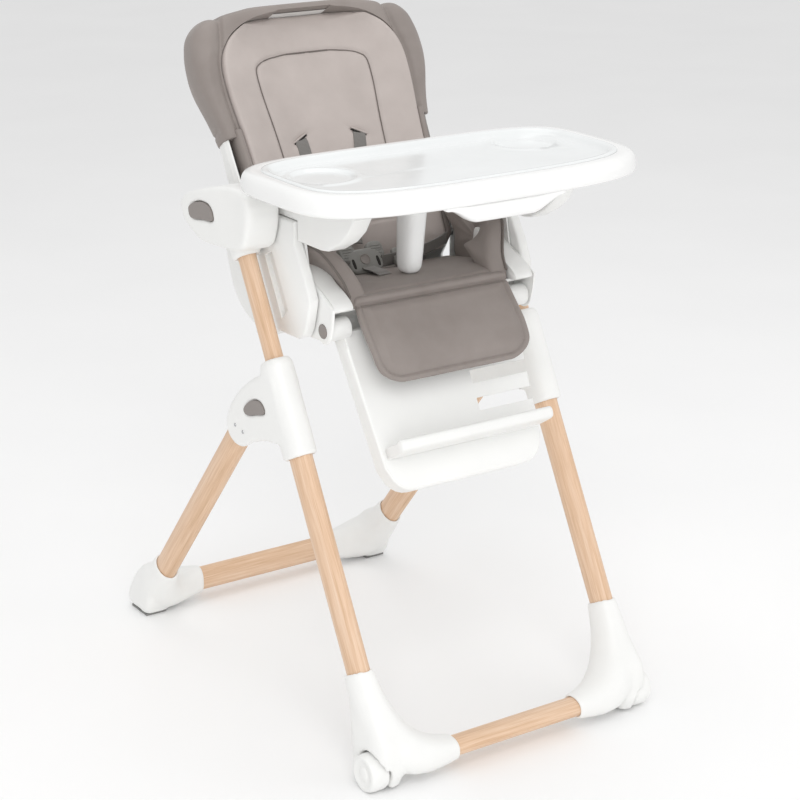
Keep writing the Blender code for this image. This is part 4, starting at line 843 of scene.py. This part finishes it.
def tray_ring(inset, z, count=176):
    middle = (TRAY_REAR + TRAY_FRONT) / 2
    half_x, half_y = TRAY_HALF - inset, (TRAY_REAR - TRAY_FRONT) / 2 - inset
    points = []
    for i in range(count):
        c, s = cos(2 * pi * i / count), sin(2 * pi * i / count)
        bend = 5.0 if s >= 0 else 3.9
        x = half_x * abs(c) ** (2 / bend) * (1 if c >= 0 else -1)
        y = half_y * abs(s) ** (2 / bend) * (1 if s >= 0 else -1)
        bow = 0.006 * (1 - (x / half_x) ** 2) * abs(y) / half_y if y < 0 else 0
        points.append(Vector((x, middle + y - bow, z)))
    return points


def tray():
    section = [(0.120, -0.0195), (0.036, -0.0193), (0.030, -0.0185), (0.010, -0.0160), (0.004, -0.0165),
               (0.0010, -0.0200), (-0.0012, -0.0260), (0.0010, -0.0310), (0.0026, -0.0330),
               (0.0000, -0.0336),
               (-0.0030, -0.0325), (-0.0050, -0.0300), (-0.0059, -0.0265), (-0.0060, -0.0200),
               (-0.0052, -0.0140),
               (-0.0036, -0.0085), (-0.0008, -0.0040), (0.0035, -0.0013), (0.0090, -0.0002), (0.0140, 0.0),
               (0.0185, -0.0004), (0.0225, -0.0018), (0.0260, -0.0050), (0.0285, -0.0095),
               (0.0310, -0.0128),
               (0.0350, -0.0144), (0.0450, -0.0149), (0.120, -0.0150)]
    bm = skin([tray_ring(inset, TRAY_Z + z) for inset, z in section])
    finished("tray_top", bm, TRAY, "tray_unit", "tray", sharp=50)
    for word, side in SIDES:
        rail = skin([oval(Vector((side * 0.193, y, 0.9091)), X_AXIS, Z_AXIS, (0.026 - g, 0.0182 - g), 32,
                          6.0)
                     for y, g in ((-0.310, 0.004), (-0.3085, 0.0), (-0.0715, 0.0), (-0.070, 0.004))])
        finished(f"tray_rail_{word}", rail, TRAY, "tray_unit", sharp=50)


def tray_liner():
    low = -0.0136
    section = [(0.120, low), (0.034, low), (0.0300, low + 0.004), (0.0288, -0.0060), (0.0250, -0.0040),
               (0.0215, -0.0022), (0.0203, -0.0006), (0.0215, 0.0012), (0.0245, 0.0020), (0.0280, 0.0016),
               (0.0310, -0.0008), (0.0335, -0.0042), (0.0365, -0.0072), (0.0410, -0.0087),
               (0.0470, -0.0092)]
    section += [(0.0470 + 0.0035 * k, -0.0093) for k in range(1, 30)]
    bm = skin([tray_ring(inset, TRAY_Z + z) for inset, z in section])
    for vert in bm.verts:
        if vert.co.z < TRAY_Z - 0.0100 or (vert.co.z > TRAY_Z - 0.0085):
            continue
        for x, y in ((-0.203, -0.165), (0.203, -0.135)):
            away = ((vert.co.x - x) ** 2 + (vert.co.y - y) ** 2) ** 0.5
            vert.co.z += 0.0018 * bell(away - 0.0560, 0.0060) - 0.0034 * (1 - ramp(away, 0.0450, 0.0520))
    finished("tray_liner_dish", bm, LINER, "liner", "tray_liner", sharp=60)


def tray_lever():
    """Apron under the tray's front edge, squeezed to free the tray."""
    rings = []
    for k in range(57):
        x = mix(-0.112, 0.112, k / 56)
        deep = 0.0060 + 0.0240 * (1 - ramp(abs(x), 0.050, 0.106))
        bow = 0.006 * (1 - (x / 0.306) ** 2)
        thick = 0.016 + 0.018 * (1 - ramp(abs(x), 0.060, 0.110))
        end = 0.35 if k in (0, 56) else 1.0
        centre = Vector((x, -0.3610 - bow + thick / 2, 0.9025 - deep / 2))
        rings.append(oval(centre, Y_AXIS, Z_AXIS, (thick * end, deep * end), 36, 3.0))
    finished("tray_lever_apron", skin(rings), TRAY, "tray_lever", "tray_release", sharp=60)


def crotch_guard():
    levels = [(0.7285, 0.006, 0.008), (0.7292, 0.016, 0.020), (0.7315, 0.0255, 0.031),
              (0.7355, 0.0315, 0.038),
              (0.742, 0.0350, 0.0425), (0.760, 0.0370, 0.0455), (0.800, 0.0390, 0.0500),
              (0.850, 0.0420, 0.0560),
              (0.880, 0.0440, 0.0600), (0.9140, 0.0500, 0.0660)]
    rings = []
    for k in range(60):
        z = mix(0.7285, 0.9140, (k / 59) ** 1.6)
        wide, deep = eased(levels, z)
        rings.append(oval(Vector((0, mix(-0.100, -0.114, (z - 0.728) / 0.18), z)), X_AXIS, Y_AXIS,
                          (wide, deep), 44, 2.5))
    finished("crotch_guard", skin(rings), TRAY, "tray_unit", "crotch_post", sharp=60)


# ------------------------------------------------------------------ calf rest and ledge
def foot_ledge():
    """Foot plate with a raised front lip, hooked into the calf panel."""
    outline = [(0.2192, 0.0046), (0.2040, 0.0046), (0.2010, 0.0075), (0.2005, 0.0200), (0.2000, 0.0440),
               (0.1980, 0.0500), (0.1962, 0.0560), (0.1975, 0.0600), (0.2020, 0.0620), (0.2100, 0.0610),
               (0.2150, 0.0560), (0.2175, 0.0400), (0.2190, 0.0200)]
    flat = smooth_line([Vector((d, a, 0)) for d, a in outline + outline[:1]], 5)[:-1]
    middle = sum(flat, Vector()) / len(flat)
    rings = []
    for x, pull in ((-0.1470, 0.55), (-0.1466, 0.12), (-0.1445, 0.03), (-0.1410, 0.0), (0.1410, 0.0),
                    (0.1445, 0.03),
                    (0.1466, 0.12), (0.1470, 0.55)):
        rings.append([calf_point(*(p + (middle - p) * pull).xy, x) for p in flat])
    finished("foot_ledge_plate", skin(rings), WHITE, "footrest", "foot_ledge", sharp=60)


def rounded_nodes():
    """Flat-sided mouldings keep the CAD's lines and get soft edges."""
    for name, body, width in (("calf_panel", "calf_rest", 0.0012), ("seat_side_left", "seat", 0.0012),
                              ("seat_side_right", "seat", 0.0012), ("tray_arm_left", "seat", 0.0012),
                              ("tray_arm_right", "seat", 0.0012)):
        bm = merged_copy(name)
        bmesh.ops.dissolve_limit(bm, angle_limit=radians(1.0), verts=bm.verts, edges=bm.edges)
        obj = finished(name + "_moulding", bm, WHITE, body, name, sharp=35)
        step = obj.modifiers.new("edge", "BEVEL")
        step.width, step.segments, step.limit_method, step.angle_limit = width, 2, "ANGLE", radians(35)
        step.harden_normals = True


# ------------------------------------------------------------------ the whole chair
tubes()
moulded_frame()
hub_rivets()
wheels()
back_insert()
back_hood()
seat_cushion()
seat_shoulders()
calf_flap()
harness()
tray()
tray_liner()
tray_lever()
crotch_guard()
foot_ledge()
rounded_nodes()
paint(STEEL, "fold_pin_left", "fold_pin_right", "wheel_axle_left", "wheel_axle_right", "recline_pin_left",
      "recline_pin_right")
paint(WHITE, "rear_knuckle_left", "rear_knuckle_right", "seat_shell", "back_shell")
paint(RUBBER, "rear_foot_pad_left", "rear_foot_pad_right")
paint(BUTTON, "mid_button_left", "mid_button_right", "upper_button_left", "upper_button_right",
      "calf_button_left",
      "calf_button_right", "recline_handle")


# ------------------------------------------------------------------ studio
def studio():
    """White paper floor, a soft key in front on the left, three weaker lamps and an even sky."""
    floor_paint, tree, shader = finish_of("white_studio_paper", "#fbfbfb", Roughness=0.9)
    cloud = node(tree, "ShaderNodeTexNoise", Vector=object_space(tree, (0.5,) * 3), Scale=1.0, Detail=2.0)
    tinted(tree, shader, cloud.outputs["Fac"], [(0.3, "#fafafa"), (0.7, "#fcfcfc")])
    bm = bmesh.new()
    bmesh.ops.create_grid(bm, x_segments=1, y_segments=1, size=14.0)
    mesh = bpy.data.meshes.new("studio_floor")
    bm.to_mesh(mesh)
    bm.free()
    mesh.materials.append(floor_paint)
    floor = bpy.data.objects.new("studio_floor", mesh)
    bpy.context.scene.collection.objects.link(floor)
    bpy.context.scene.view_settings.view_transform = "Standard"
    world = bpy.data.worlds.new("studio_sky")
    bpy.context.scene.world = world
    world.use_nodes = True
    world.node_tree.nodes["Background"].inputs["Color"].default_value = (1.0, 1.0, 1.0, 1.0)
    world.node_tree.nodes["Background"].inputs["Strength"].default_value = 0.76
    for name, place, size, power in (("key", (-1.6, -2.6, 3.0), 2.2, 36),
                                     ("fill", (2.6, -2.0, 2.0), 2.6, 9),
                                     ("low", (-1.2, -3.0, 0.45), 1.6, 12),
                                     ("top", (0.2, 0.6, 3.8), 2.4, 20)):
        light = bpy.data.lights.new(name, "AREA")
        light.size, light.energy = size, power
        lamp = bpy.data.objects.new(name, light)
        lamp.location = place
        lamp.rotation_euler = (Vector((0, 0, 0.6)) - Vector(place)).to_track_quat("-Z", "Y").to_euler()
        bpy.context.scene.collection.objects.link(lamp)
    lens = bpy.data.cameras.new("camera")
    lens.lens, lens.sensor_width = 93.5, 36.0
    camera = bpy.data.objects.new("camera", lens)
    camera.location = (-1.819, -2.804, 1.629)
    camera.rotation_euler = (radians(71.014), 0, radians(-33.738))
    bpy.context.scene.collection.objects.link(camera)
    bpy.context.scene.camera = camera


studio()
